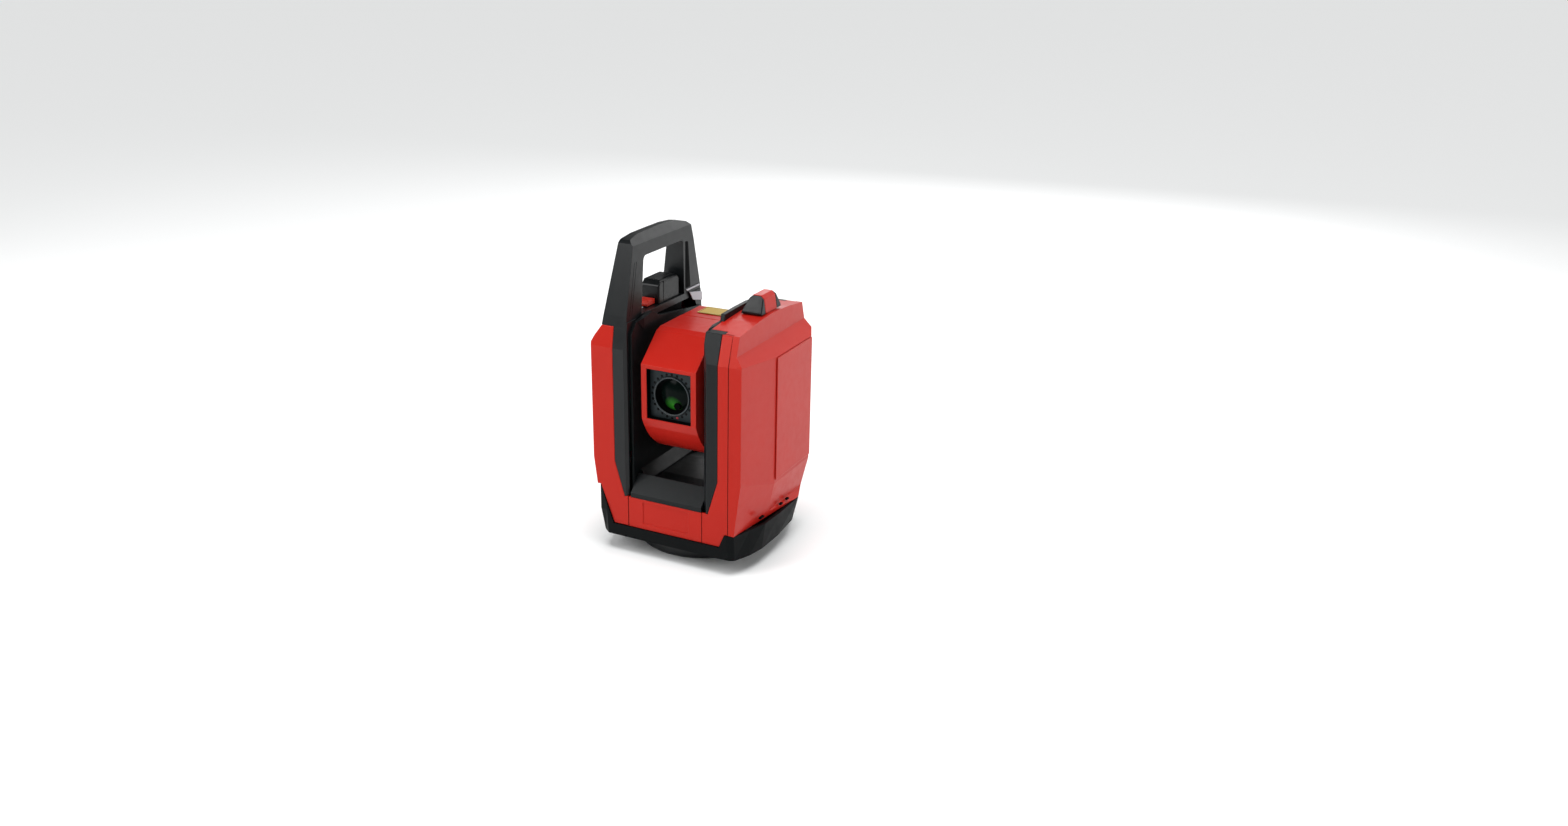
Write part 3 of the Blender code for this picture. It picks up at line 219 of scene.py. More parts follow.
@dataclass(frozen=True)
class Metal:
    """Machined, ground or cast metal with fine tool marks."""

    name: str
    colour: str
    roughness: float
    mark_mm: float = 0.3
    mark_depth: float = 0.01
    mark_strength: float = 0.2
    dullness: float = 0.82
    gloss_range: tuple[float, float] = (-0.06, 0.08)

    def build(self) -> bpy.types.Material:
        """Make the material's nodes and return it."""
        mat = start_material(self.name, {"Metallic": 1.0})
        marks = noise(object_space(mat), self.mark_mm, 3.0)
        bright = linear(self.colour)
        dull = tuple(self.dullness * value for value in bright[:3]) + (1.0,)
        feed(mat, "Base Color", blend(marks, bright, dull))
        low, high = self.gloss_range
        feed(mat, "Roughness", ranged(marks, self.roughness + low, self.roughness + high))
        feed(mat, "Normal", bumped(marks, self.mark_strength, self.mark_depth))
        return mat


@dataclass(frozen=True)
class CoatedGlass:
    """Dark objective glass with an anti-reflection coating, and a green glow painted into its
    middle as a painted reflection that fades out to the dark rim.
    """

    name: str
    rim: str
    painted_glow: str
    painted_glow_at: tuple[float, float] = (-0.001, 0.188)
    roughness: float = 0.12
    ior: float = 1.5
    coat: float = 0.5
    coat_roughness: float = 0.02
    painted_glow_radius: float = 12 * MM

    def build(self) -> bpy.types.Material:
        """Make the material's nodes and return it."""
        mat = start_material(self.name, {
            "Roughness": self.roughness, "IOR": self.ior, "Coat Weight": self.coat,
            "Coat Roughness": self.coat_roughness})
        # Painted reflection: the colour fades from the painted green glow at the centre to the
        # dark rim over the glow's radius.
        centre = add_node(mat.node_tree, "ShaderNodeMapping",
                          {"Vector": object_space(mat), "Scale": (1.0, 0.0, 1.0),
                           "Location": (-self.painted_glow_at[0], 0.0, -self.painted_glow_at[1])})
        reach = add_node(mat.node_tree, "ShaderNodeVectorMath",
                         {0: centre.outputs["Vector"]}, operation="LENGTH")
        fade = ranged(reach.outputs["Value"], 0.0, 1.0, (0.0, self.painted_glow_radius))
        feed(mat, "Base Color", blend(fade, linear(self.painted_glow), linear(self.rim)))
        return mat


class Finish(Enum):
    """Every finish on the instrument, one member for each real material."""

    RED_ABS = Moulded("red_abs_housing", "#B9231A", "#AE1E17", 0.34, ior=1.27, coat=0.12,
                      tint="#FFB090")
    RED_ACETAL = Moulded("red_acetal_latch", "#CC2E1E", "#C0281B", 0.38, ior=1.4)
    BLACK_NYLON = Moulded("black_nylon_frame", "#0D1113", "#0B0E10", 0.33, grain_mm=0.55,
                          ior=1.36)
    BLACK_COVER = Moulded("black_abs_cover", "#0E1214", "#0C1011", 0.42, ior=1.24, coat=0.1)
    RING = Moulded("anthracite_ring", "#2C3437", "#272F32", 0.3, grain_mm=0.3)
    BLACK_BOOT = Moulded("black_elastomer_boot", "#0B0E0F", "#090C0D", 0.5, grain_mm=0.7,
                         ior=1.16)
    BLACK_ABS = Moulded("black_abs_battery", "#0C0F11", "#0A0D0E", 0.30, ior=1.24, coat=0.15)
    BLACK_OPTIC = Moulded("black_optic_paint", "#040506", "#030404", 0.6, grain_mm=0.3,
                          ior=1.1)
    WINDOW_PLATE = Moulded("anthracite_window_plate", "#242C2F", "#20282B", 0.5,
                           grain_mm=0.3, ior=1.3)
    GREY_ABS = Moulded("grey_abs_plate", "#B9B9BF", "#B2B2B8", 0.35)
    LABEL = Moulded("yellow_label_foil", "#B99A3C", "#AE9036", 0.4, grain_depth=0.002,
                    ior=1.3)
    BOARD = Moulded("green_solder_mask", "#1F5A38", "#1A4E31", 0.35, grain_depth=0.004)
    STEEL = Metal("ground_steel", "#B9BBBE", 0.28)
    ALUMINIUM = Metal("cast_aluminium", "#C5C6C8", 0.45, 0.8)
    BRASS = Metal("turned_brass", "#C9A558", 0.3)
    COPPER = Metal("copper_winding", "#B8703F", 0.4, 0.4)
    # Objective: dark rim colour, then the painted green glow in its middle, a painted
    # reflection.
    OBJECTIVE = CoatedGlass("coated_objective_glass", "#070F0D", "#2C7A20", ior=1.12,
                            coat=0.0)
    ENCODER = CoatedGlass("encoder_glass", "#6C7A78", "#6C7A78")
    LAMP_DARK = Moulded("dark_lamp_lens", "#020303", "#030404", 0.3, grain_depth=0.002,
                        ior=1.15)
    LAMP_RED = Moulded("red_lamp_lens", "#A8202A", "#98202A", 0.25, grain_depth=0.002)


FINISHES: dict[Finish, bpy.types.Material] = {}


def material_of(finish: Finish) -> bpy.types.Material:
    """Return a finish's material, and make it the first time."""
    if finish not in FINISHES:
        FINISHES[finish] = finish.value.build()
    return FINISHES[finish]


# ------------------------------------------------------------------ mesh helpers
def body_of_node(node: str) -> str:
    """Name of the body that a CAD node rides on."""
    bodies = frame["record"]["behaviour"]["bodies"]
    return next(name for name, nodes in bodies.items() if node in nodes)


def dress(piece: bpy.types.Object, finish: Finish, like: str,
          *replaced: str) -> bpy.types.Object:
    """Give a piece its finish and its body.

    Args:
        piece: Mesh object whose place is in its mesh.
        finish: What it is made of.
        like: CAD node whose body and material slot it shares.
        replaced: CAD nodes that it stands for.

    Returns:
        The same piece.
    """
    piece.data.materials.clear()
    piece.data.materials.append(material_of(finish))
    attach(piece, body_of_node(like))
    if replaced:
        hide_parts(*replaced)
    LOG.info("%s: %d points, %s, rides on %s", piece.name, len(piece.data.vertices),
             finish.name.lower(), body_of_node(like))
    return piece


def carry_over(node: str, finish: Finish) -> None:
    """Keep a CAD node as it is and give it a finish."""
    data = frame["nodes"][node].data
    data.materials.clear()
    data.materials.append(material_of(finish))
    LOG.info("%s: carried over, %s", node, finish.name.lower())


def place_object(name: str, data: bpy.types.ID) -> bpy.types.Object:
    """Make an object from its data and link it into the scene."""
    thing = bpy.data.objects.new(name, data)
    bpy.context.scene.collection.objects.link(thing)
    return thing


def shade(mesh: bpy.types.Mesh, crisp: float) -> None:
    """Shade a mesh smooth, with edges sharper than this many degrees kept crisp."""
    mesh.shade_smooth()
    mesh.set_sharp_from_angle(angle=math.radians(crisp))


def on_axis(axis: str, along: Array, first: Array, second: Array) -> Array:
    """Points from one coordinate along an axis and two across it.

    Args:
        axis: "x", "y" or "z".
        along: Coordinate along the axis.
        first: First coordinate across it.
        second: Second coordinate across it.

    Returns:
        Points, with their three coordinates last.
    """
    order = {"x": (along, first, second), "y": (first, along, second),
             "z": (first, second, along)}
    return np.stack(order[axis], axis=-1)


def rectangle(low: Sequence[float], high: Sequence[float]) -> Array:
    """Four corners of a rectangle, round from its low corner."""
    return np.array([(low[0], low[1]), (high[0], low[1]), (high[0], high[1]),
                     (low[0], high[1])])


def mesh_object(name: str, points: Array, faces: list, smooth_angle: float = 35.0
                ) -> bpy.types.Object:
    """Make an object from points and faces, weld it and shade it.

    Args:
        name: Name of the object.
        points: Points, one a row.
        faces: Point numbers of each face.
        smooth_angle: Edges sharper than this many degrees stay crisp.

    Returns:
        The new object, linked into the scene.
    """
    mesh = bpy.data.meshes.new(name)
    mesh.from_pydata(points.reshape(-1, 3).tolist(), [], faces)
    edit = bmesh.new()
    edit.from_mesh(mesh)
    bmesh.ops.remove_doubles(edit, verts=edit.verts, dist=0.001 * MM)
    bmesh.ops.recalc_face_normals(edit, faces=edit.faces)
    edit.to_mesh(mesh)
    edit.free()
    shade(mesh, smooth_angle)
    return place_object(name, mesh)


def grid_faces(rows: int, columns: int, wrap_rows: bool = False) -> Array:
    """Quads of a grid of points whose last column joins the first.

    Args:
        rows: Number of rows.
        columns: Number of points in a row.
        wrap_rows: Join the last row to the first.

    Returns:
        Four point numbers for each quad.
    """
    index = np.arange(rows * columns).reshape(rows, columns)
    if wrap_rows:
        index = np.vstack([index, index[:1]])
    index = np.hstack([index, index[:, :1]])
    corners = (index[:-1, :-1], index[:-1, 1:], index[1:, 1:], index[1:, :-1])
    return np.stack(corners, axis=-1).reshape(-1, 4)


def grid_piece(name: str, grid: Array, wrap_rows: bool = False, caps: bool = False,
               smooth_angle: float = 35.0) -> bpy.types.Object:
    """Make a piece from a grid of points, with its ends closed if asked.

    Args:
        name: Name of the object.
        grid: Points as rows, columns and three coordinates.
        wrap_rows: Join the last row to the first.
        caps: Close the first and last row with one face each.
        smooth_angle: Edges sharper than this many degrees stay crisp.

    Returns:
        The new object.
    """
    rows, columns = grid.shape[:2]
    faces = grid_faces(rows, columns, wrap_rows).tolist()
    if caps:
        faces.append(list(range(columns))[::-1])
        faces.append(list(range((rows - 1) * columns, rows * columns)))
    return mesh_object(name, grid, faces, smooth_angle)


def band(name: str, rows: Sequence[tuple[Array, float]], axis: str) -> bpy.types.Object:
    """Make a closed band from flat outlines, each at its height along the axis."""
    grid = np.stack([on_axis(axis, np.full(len(line), level), line[:, 0], line[:, 1])
                     for line, level in rows])
    return grid_piece(name, grid, wrap_rows=True)


def rounded_profile(corners: Sequence[Sequence[float]], radii: Sequence[float],
                    steps: int = 5, closed: bool = True) -> Array:
    """Outline whose corners are rounded by quadratic arcs.

    Each corner is left and joined at its radius along both sides, and the arc
    between is (1-t)^2 A + 2t(1-t) B + t^2 C for the corner B.

    Args:
        corners: Corner points in order.
        radii: Distance from each corner at which its arc starts.
        steps: Spans of each arc.
        closed: Whether the last corner joins the first.

    Returns:
        Points of the outline, one a row.
    """
    here = np.asarray(corners, float)
    reach = np.asarray(radii, float)[:, None]
    before, after = np.roll(here, 1, axis=0), np.roll(here, -1, axis=0)
    if not closed:
        before[0], after[-1] = here[0], here[-1]
    to_before, to_after = before - here, after - here
    length_before = np.linalg.norm(to_before, axis=1, keepdims=True)
    length_after = np.linalg.norm(to_after, axis=1, keepdims=True)
    start = here + to_before / np.maximum(length_before, 1e-9) * np.minimum(
        reach, 0.49 * length_before)
    stop = here + to_after / np.maximum(length_after, 1e-9) * np.minimum(
        reach, 0.49 * length_after)
    t = np.linspace(0.0, 1.0, steps + 1)[None, :, None]
    arcs = ((1 - t) ** 2 * start[:, None] + 2 * t * (1 - t) * here[:, None]
            + t ** 2 * stop[:, None])
    return arcs.reshape(-1, here.shape[1])


def turned(name: str, profile: Sequence[Sequence[float]], radii: Sequence[float],
           centre: Sequence[float], axis: str = "z", sides: int = 96,
           closed: bool = True) -> bpy.types.Object:
    """Turn a rounded profile about an axis.

    A profile point (r, h) at angle a goes to r cos a and r sin a across the axis
    and to h along it.

    Args:
        name: Name of the object.
        profile: Corners as radius and height along the axis.
        radii: Rounding of each corner.
        centre: Point that the heights and radii start from.
        axis: "x", "y" or "z".
        sides: Steps round the axis.
        closed: Whether the profile is a closed ring section.

    Returns:
        The new object.
    """
    line = rounded_profile(profile, radii, closed=closed)
    angle = np.linspace(0.0, 2 * math.pi, sides, endpoint=False)
    across = line[:, :1] * np.cos(angle)[None, :]
    up = line[:, :1] * np.sin(angle)[None, :]
    along = np.broadcast_to(line[:, 1:2], across.shape)
    grid = on_axis(axis, along, across, up) + np.asarray(centre, float)
    return grid_piece(name, grid, wrap_rows=closed)


def slab(name: str, corners: Sequence[Sequence[float]], radii: Sequence[float],
         low: float, high: float, edge: float) -> bpy.types.Object:
    """Plate with a rounded outline and a rounded rim on its high side.

    The outline is carried along X; near the high end it is scaled towards its
    middle by a quarter circle of the edge's radius.

    Args:
        name: Name of the object.
        corners: Outline as Y and Z.
        radii: Rounding of each outline corner.
        low: Start along X.
        high: End along X, with the rounded rim.
        edge: Radius of the rim.

    Returns:
        The new object.
    """
    line = rounded_profile(corners, radii)
    middle = (line.max(axis=0) + line.min(axis=0)) / 2
    half = (line.max(axis=0) - line.min(axis=0)) / 2
    turn = np.linspace(0.0, math.pi / 2, 5)
    levels = np.concatenate([[low], high - edge * (1 - np.sin(turn))])
    shrink = np.concatenate([[0.0], edge * (1 - np.cos(turn))])
    scale = 1 - shrink[:, None, None] / half[None, None, :]
    flat = middle + (line - middle)[None] * scale
    along = np.broadcast_to(levels[:, None], flat.shape[:2])
    return grid_piece(name, on_axis("x", along, flat[..., 0], flat[..., 1]), caps=True)


def ribbon(name: str, path: Sequence[Sequence[float]], width: Sequence[float],
           depth: Sequence[float]) -> bpy.types.Object:
    """Narrow bar along a path: each path point plus and minus half its width.

    Args:
        name: Name of the object.
        path: Points that the bar follows, on its outer face.
        width: Vector across the bar.
        depth: Vector from its outer face to its inner face.

    Returns:
        The new object.
    """
    line = np.asarray(path, float)[:, None]
    across = np.asarray(width, float) / 2
    inward = np.asarray(depth, float)
    section = np.stack([-across, across, across + inward, -across + inward])[None]
    return grid_piece(name, line + section, caps=True, smooth_angle=20.0)


def refined(node: str, finish: Finish, width: float, segments: int = 3,
            merge: float = WELD, crisp: float = 1.0) -> bpy.types.Object:
    """Stand a merged, round-edged copy in for a CAD node.

    The node's triangles are welded, flat neighbours are dissolved into whole
    faces, and each outward edge is rounded.  Flat faces keep flat shading.

    Args:
        node: Name of the CAD node.
        finish: What it is made of.
        width: Width of the rounding.
        segments: Steps across the rounding.
        merge: Points closer than this are welded.
        crisp: Edges sharper than this many degrees stay crisp where not rounded.

    Returns:
        The new piece.
    """
    edit = bmesh.new()
    edit.from_mesh(frame["nodes"][node].data)
    bmesh.ops.remove_doubles(edit, verts=edit.verts, dist=WELD)
    bmesh.ops.dissolve_limit(edit, angle_limit=math.radians(FLAT_ANGLE), verts=edit.verts,
                             edges=edit.edges)
    bmesh.ops.remove_doubles(edit, verts=edit.verts, dist=merge)
    weight = edit.edges.layers.float.new("bevel_weight_edge")
    for edge in edit.edges:
        if edge.calc_face_angle_signed(0.0) > math.radians(ROUNDED_ANGLE):
            edge[weight] = 1.0
    mesh = bpy.data.meshes.new(f"{node}_skin")
    edit.to_mesh(mesh)
    edit.free()
    shade(mesh, crisp)
    piece = place_object(f"{node}_skin", mesh)
    bevel = piece.modifiers.new("round_edges", "BEVEL")
    bevel.width = width
    bevel.segments = segments
    bevel.limit_method = "WEIGHT"
    even = piece.modifiers.new("even_normals", "WEIGHTED_NORMAL")
    even.keep_sharp = True
    return dress(piece, finish, node, node)


# ------------------------------------------------------------------ studio
@dataclass
class Studio:
    """Pale floor, soft boxes and the camera."""

    target: tuple[float, float, float] = (0.005, 0.0, 0.180)
    distance: float = 1.670
    azimuth: float = 28.5
    elevation: float = 19.5
    focal_mm: float = 32.14
    shift: tuple[float, float] = (0.0492, -0.0115)
    air: float = 0.12
    softboxes: tuple = (
        ("high_key_softbox", (-0.95, -1.25, 1.55), 0.75, 10.0),
        ("low_key_softbox", (-0.95, -1.55, 0.95), 0.65, 8.0),
        ("right_softbox", (1.8, -0.1, 0.8), 0.7, 9.0),
        ("left_softbox", (-1.7, -0.6, 0.8), 0.65, 8.0),
        ("back_softbox", (-0.2, 1.8, 1.2), 1.5, 16.0),
        ("rim_softbox", (1.15, 1.65, 0.65), 0.8, 4.0))

    def build(self) -> None:
        """Make the whole set."""
        self.camera()
        self.floor()
        self.world()
        for name, place, size, power in self.softboxes:
            self.softbox(name, place, size, power)
        self.skylight("top_light", (4.0, 6.0), 2.4, 40.0)

    def camera(self) -> None:
        """Put the camera at its distance from the target, looking at it."""
        turn, rise = math.radians(self.azimuth), math.radians(self.elevation)
        ahead = Vector((-math.sin(turn) * math.cos(rise), math.cos(turn) * math.cos(rise),
                        -math.sin(rise)))
        data = bpy.data.cameras.new("camera")
        data.sensor_width = 36.0
        data.lens = self.focal_mm
        data.shift_x, data.shift_y = self.shift
        camera = place_object("camera", data)
        camera.location = Vector(self.target) - self.distance * ahead
        camera.rotation_euler = ahead.to_track_quat("-Z", "Y").to_euler()
        bpy.context.scene.camera = camera

    def floor(self) -> None:
        """Lay a wide pale floor under the instrument."""
        reach = 30.0
        corners = rectangle((-reach, -reach), (reach, reach))
        mesh = bpy.data.meshes.new("studio_floor")
        mesh.from_pydata([(x, y, 0.0) for x, y in corners], [], [(0, 1, 2, 3)])
        mesh.materials.append(start_material(
            "pale_floor", {"Base Color": linear("#F4F5F5"), "Roughness": 0.8}))
        floor = place_object("studio_floor", mesh)

    def world(self) -> None:
        """Light the room evenly with near-white air."""
        world = bpy.data.worlds.new("studio_air")
        world.use_nodes = True
        tree = world.node_tree
        back = tree.nodes["Background"]
        seen = add_node(tree, "ShaderNodeLightPath").outputs["Is Camera Ray"]
        back.inputs["Color"].default_value = linear("#FCFDFD")
        tree.links.new(ranged(seen, self.air, 1.0), back.inputs["Strength"])
        bpy.context.scene.world = world

    def skylight(self, name: str, tilt: tuple[float, float], strength: float,
                 spread: float) -> None:
        """Hang a very wide, soft light overhead that lights the whole floor evenly.

        Args:
            name: Name of the lamp.
            tilt: Turn about X and Y from straight down, in degrees.
            strength: Strength of the light.
            spread: Angle that the light fills, in degrees.
        """
        data = bpy.data.lights.new(name, "SUN")
        data.energy = strength
        data.angle = math.radians(spread)
        lamp = place_object(name, data)
        lamp.rotation_euler = (math.radians(tilt[0]), math.radians(tilt[1]), 0.0)

    def softbox(self, name: str, place: Sequence[float], size: float, power: float) -> None:
        """Hang one square soft box that faces the instrument.

        Args:
            name: Name of the lamp.
            place: Where it hangs.
            size: Length of its side.
            power: Power in watts.
        """
        data = bpy.data.lights.new(name, "AREA")
        data.shape = "SQUARE"
        data.size = size
        data.energy = power
        lamp = place_object(name, data)
        lamp.location = place
        aim = Vector(self.target) - Vector(place)
        lamp.rotation_euler = aim.to_track_quat("-Z", "Y").to_euler()
        lamp.visible_camera = False


# ------------------------------------------------------------------ base and boot
@dataclass
class BaseAndBoot:
    """Round base disc, brass thread and the black boot round the foot."""

    disc_rounding: float = 1.0 * MM

    def build(self) -> None:
        """Build the disc, the boot and its thread."""
        self.disc()
        carry_over("lower_bumper", Finish.BLACK_BOOT)
        carry_over("thread_insert", Finish.BRASS)

    def disc(self) -> None:
        """Turn the disc with its hub, bore and rounded rims."""
        low, high = (np.array(end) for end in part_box("base_disc"))
        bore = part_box("thread_insert")[1][0] + 0.3 * MM
        hub, rim, deck, lip = 22.0 * MM, high[0], 18.0 * MM, 3.5 * MM
        profile = [(bore, high[2]), (hub, high[2]), (hub, deck), (rim - lip, deck),
                   (rim, deck - lip), (rim, lip), (rim - lip, low[2]), (bore, low[2])]
        radii = [0.2 * MM, 0.5 * MM, 0.8 * MM] + [self.disc_rounding] * 4 + [0.4 * MM]
        dress(turned("base_disc_turned", profile, radii, (0, 0, 0), sides=160),
              Finish.BLACK_NYLON, "base_disc", "base_disc")


# ------------------------------------------------------------------ housings
@dataclass
class Housings:
    """Two red yokes, their strips, panels, seams and black inner covers.

    Each drain slot is its middle in Y and Z and half its length, in millimetres.
    """

    shell_rounding: float = 1.3 * MM
    panel_rounding: float = 0.9 * MM
    seam_width: float = 0.8 * MM
    seam_proud: float = 0.03 * MM
    slots: tuple = ((-47.0, 60.5, 5.0), (5.0, 57.5, 3.0), (22.0, 57.5, 3.0))

    def build(self) -> None:
        """Build the moulded shells, then what lies on them."""
        for node in ("right_yoke_shell", "left_yoke_shell"):
            refined(node, Finish.RED_ABS, self.shell_rounding, 4, merge=0.9 * MM)
        for node in ("right_side_cover", "left_side_cover"):
            refined(node, Finish.RED_ABS, self.panel_rounding)
        for node in ("right_front_strip", "right_rear_strip", "front_centre_panel",
                     "rear_centre_panel"):
            refined(node, Finish.RED_ABS, 0.35 * MM)
        for node in ("right_inner_cover", "left_inner_cheek", "trough_cover"):
            refined(node, Finish.BLACK_COVER, 0.7 * MM, merge=0.6 * MM)
        self.seams()
        self.vents()

    def seams(self) -> None:
        """Lay the dark joints between strips, panels and shells, front and rear."""
        strip_low, strip_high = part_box("right_front_strip")
        panel_low, panel_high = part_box("front_centre_panel")
        half_depth, top_z = -strip_low[1], strip_high[2]
        foot_z, lean_z, lean_y = 51.0 * MM, 253.0 * MM, 81.0 * MM
        depth = 1.2 * MM
        strip_x = strip_high[0] + SEAM_GAP
        right_x, left_x = panel_high[0] + SEAM_GAP, panel_low[0] - SEAM_GAP
        for end, label in ((-1, "front"), (1, "rear")):
            face = end * (half_depth + self.seam_proud)
            paths = {
                "strip": [(strip_x, face, foot_z), (strip_x, face, lean_z),
                          (strip_x, end * (lean_y + self.seam_proud), top_z)],
                "panel_right": [(right_x, face, panel_low[2]), (right_x, face, panel_high[2])],
                "panel_left": [(left_x, face, panel_low[2]), (left_x, face, panel_high[2])],
            }
            for name, path in paths.items():
                dress(ribbon(f"{label}_{name}_seam", path, (self.seam_width, 0, 0),
                             (0, -end * depth, 0)),
                      Finish.BLACK_OPTIC, "right_front_strip")

    def vents(self) -> None:
        """Set three dark drain slots in the right shell's foot."""
        side_x, depth, corner, rim = 104.3 * MM, 3.0 * MM, 0.9 * MM, 0.2 * MM
        rise = 1.0
        for number, (y, z, half) in enumerate(self.slots):
            corners = rectangle((y - half, z - rise), (y + half, z + rise)) * MM
            dress(slab(f"drain_slot_{number + 1}", corners, [corner] * 4,
                       side_x - depth, side_x, rim),
                  Finish.BLACK_OPTIC, "right_yoke_shell")


# ------------------------------------------------------------------ handle and battery
@dataclass
class Handle:
    """Carrying handle with the battery, its red release tab and the grey clips."""

    frame_rounding: float = 2.2 * MM
    battery_rounding: float = 1.4 * MM
    rib_count: int = 4
    inner_x: float = -52.0 * MM
    sink: float = 0.06 * MM

    def build(self) -> None:
        """Build the handle, the battery and the small pieces between them."""
        self.frame()
        refined("battery_pack", Finish.BLACK_ABS, self.battery_rounding, 4)
        refined("battery_release_tab", Finish.RED_ACETAL, 0.7 * MM)
        for node in ("battery_catch_plate", "handle_clip_plate", "handle_clip_strip"):
            refined(node, Finish.GREY_ABS, 0.3 * MM)
        self.tab_ribs()
        self.grip_lines()
        self.leg_painted_shade()
        self.battery_notch()
        carry_over("battery_well", Finish.BLACK_OPTIC)
        carry_over("battery_contacts", Finish.BRASS)

    def frame(self) -> None:
        """Build the frame, its crown sunk a hair so that the joint on it fits the part."""
        skin = refined("handle_frame", Finish.BLACK_NYLON, self.frame_rounding, 4,
                       merge=0.9 * MM, crisp=12.0)
        points = np.empty(len(skin.data.vertices) * 3, np.float32)
        skin.data.vertices.foreach_get("co", points)
        points = points.reshape(-1, 3)
        points[:, 2] = np.minimum(points[:, 2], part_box("handle_frame")[1][2] - self.sink)
        skin.data.vertices.foreach_set("co", points.ravel())

    def tab_ribs(self) -> None:
        """Raise small grip ribs across the top of the release tab."""
        low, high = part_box("battery_release_tab")
        inset, crest = 2.0 * MM, high[2] + 0.25 * MM
        for number, y in enumerate(np.linspace(low[1] + 5.0 * MM, high[1] - 3.0 * MM,
                                               self.rib_count)):
            path = [(low[0] + inset, y, crest), (high[0] - inset, y, crest)]
            dress(ribbon(f"release_tab_rib_{number + 1}", path, (0, 0.9 * MM, 0),
                         (0, 0, -0.5 * MM)), Finish.RED_ACETAL, "battery_release_tab")

    def grip_lines(self) -> None:
        """Lay the fine moulding joint over the grip and two grooves down the front leg."""
        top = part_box("handle_frame")[1][2]
        crown = ((44.0, -2.0), (20.0, 0.0), (-10.0, 0.0), (-43.0, -0.5), (-59.5, -2.5))
        path = [(-70.5 * MM, y * MM, top + min(drop + 0.03, 0.0) * MM) for y, drop in crown]
        dress(ribbon("grip_joint", path, (0.5 * MM, 0, 0), (0, 0, -0.6 * MM)),
              Finish.BLACK_OPTIC, "handle_frame")
        face = self.inner_x + 0.04 * MM
        for number, back in enumerate((0.0, 4.5 * MM)):
            path = [(face, -79.0 * MM + back, 290.0 * MM),
                    (face, -66.5 * MM + back, 350.0 * MM)]
            dress(ribbon(f"leg_groove_{number + 1}", path, (0, 0.7 * MM, 0),
                         (-0.6 * MM, 0, 0)), Finish.BLACK_OPTIC, "handle_frame")

    def leg_painted_shade(self) -> None:
        """Set a black slab on the rear leg's inner side, its face a hair proud: painted shade
        standing in for the shadow in the recess there.
        """
        # Painted shade: a near-black slab where the recess in the leg lies in shadow.
        corners = np.array([(50.0, 292.0), (63.0, 292.0), (57.5, 349.0), (50.5, 350.5)]) * MM
        dress(slab("rear_leg_painted_shade", corners, [1.5 * MM] * 4, self.inner_x - 1.0 * MM,
                   self.inner_x + 0.05 * MM, 0.03 * MM), Finish.BLACK_OPTIC, "handle_frame")

    def battery_notch(self) -> None:
        """Sink a dark upright joint into the battery's side, near its front."""
        low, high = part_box("battery_pack")
        face, y = high[0] + 0.04 * MM, low[1] + 11.0 * MM
        path = [(face, y, high[2] - 27.0 * MM), (face, y, high[2] - 2.0 * MM)]
        dress(ribbon("battery_joint", path, (0, 1.3 * MM, 0), (-0.6 * MM, 0, 0)),
              Finish.BLACK_OPTIC, "battery_pack")


# ------------------------------------------------------------------ radio housing
@dataclass
class RadioHousing:
    """Black antenna core under a red saddle on the right yoke."""

    rounding: float = 1.6 * MM

    def build(self) -> None:
        """Build the core and the saddle."""
        refined("antenna_core", Finish.BLACK_NYLON, self.rounding, 4, merge=0.3 * MM)
        refined("antenna_saddle", Finish.RED_ABS, 0.6 * MM)
        carry_over("antenna_board", Finish.BOARD)


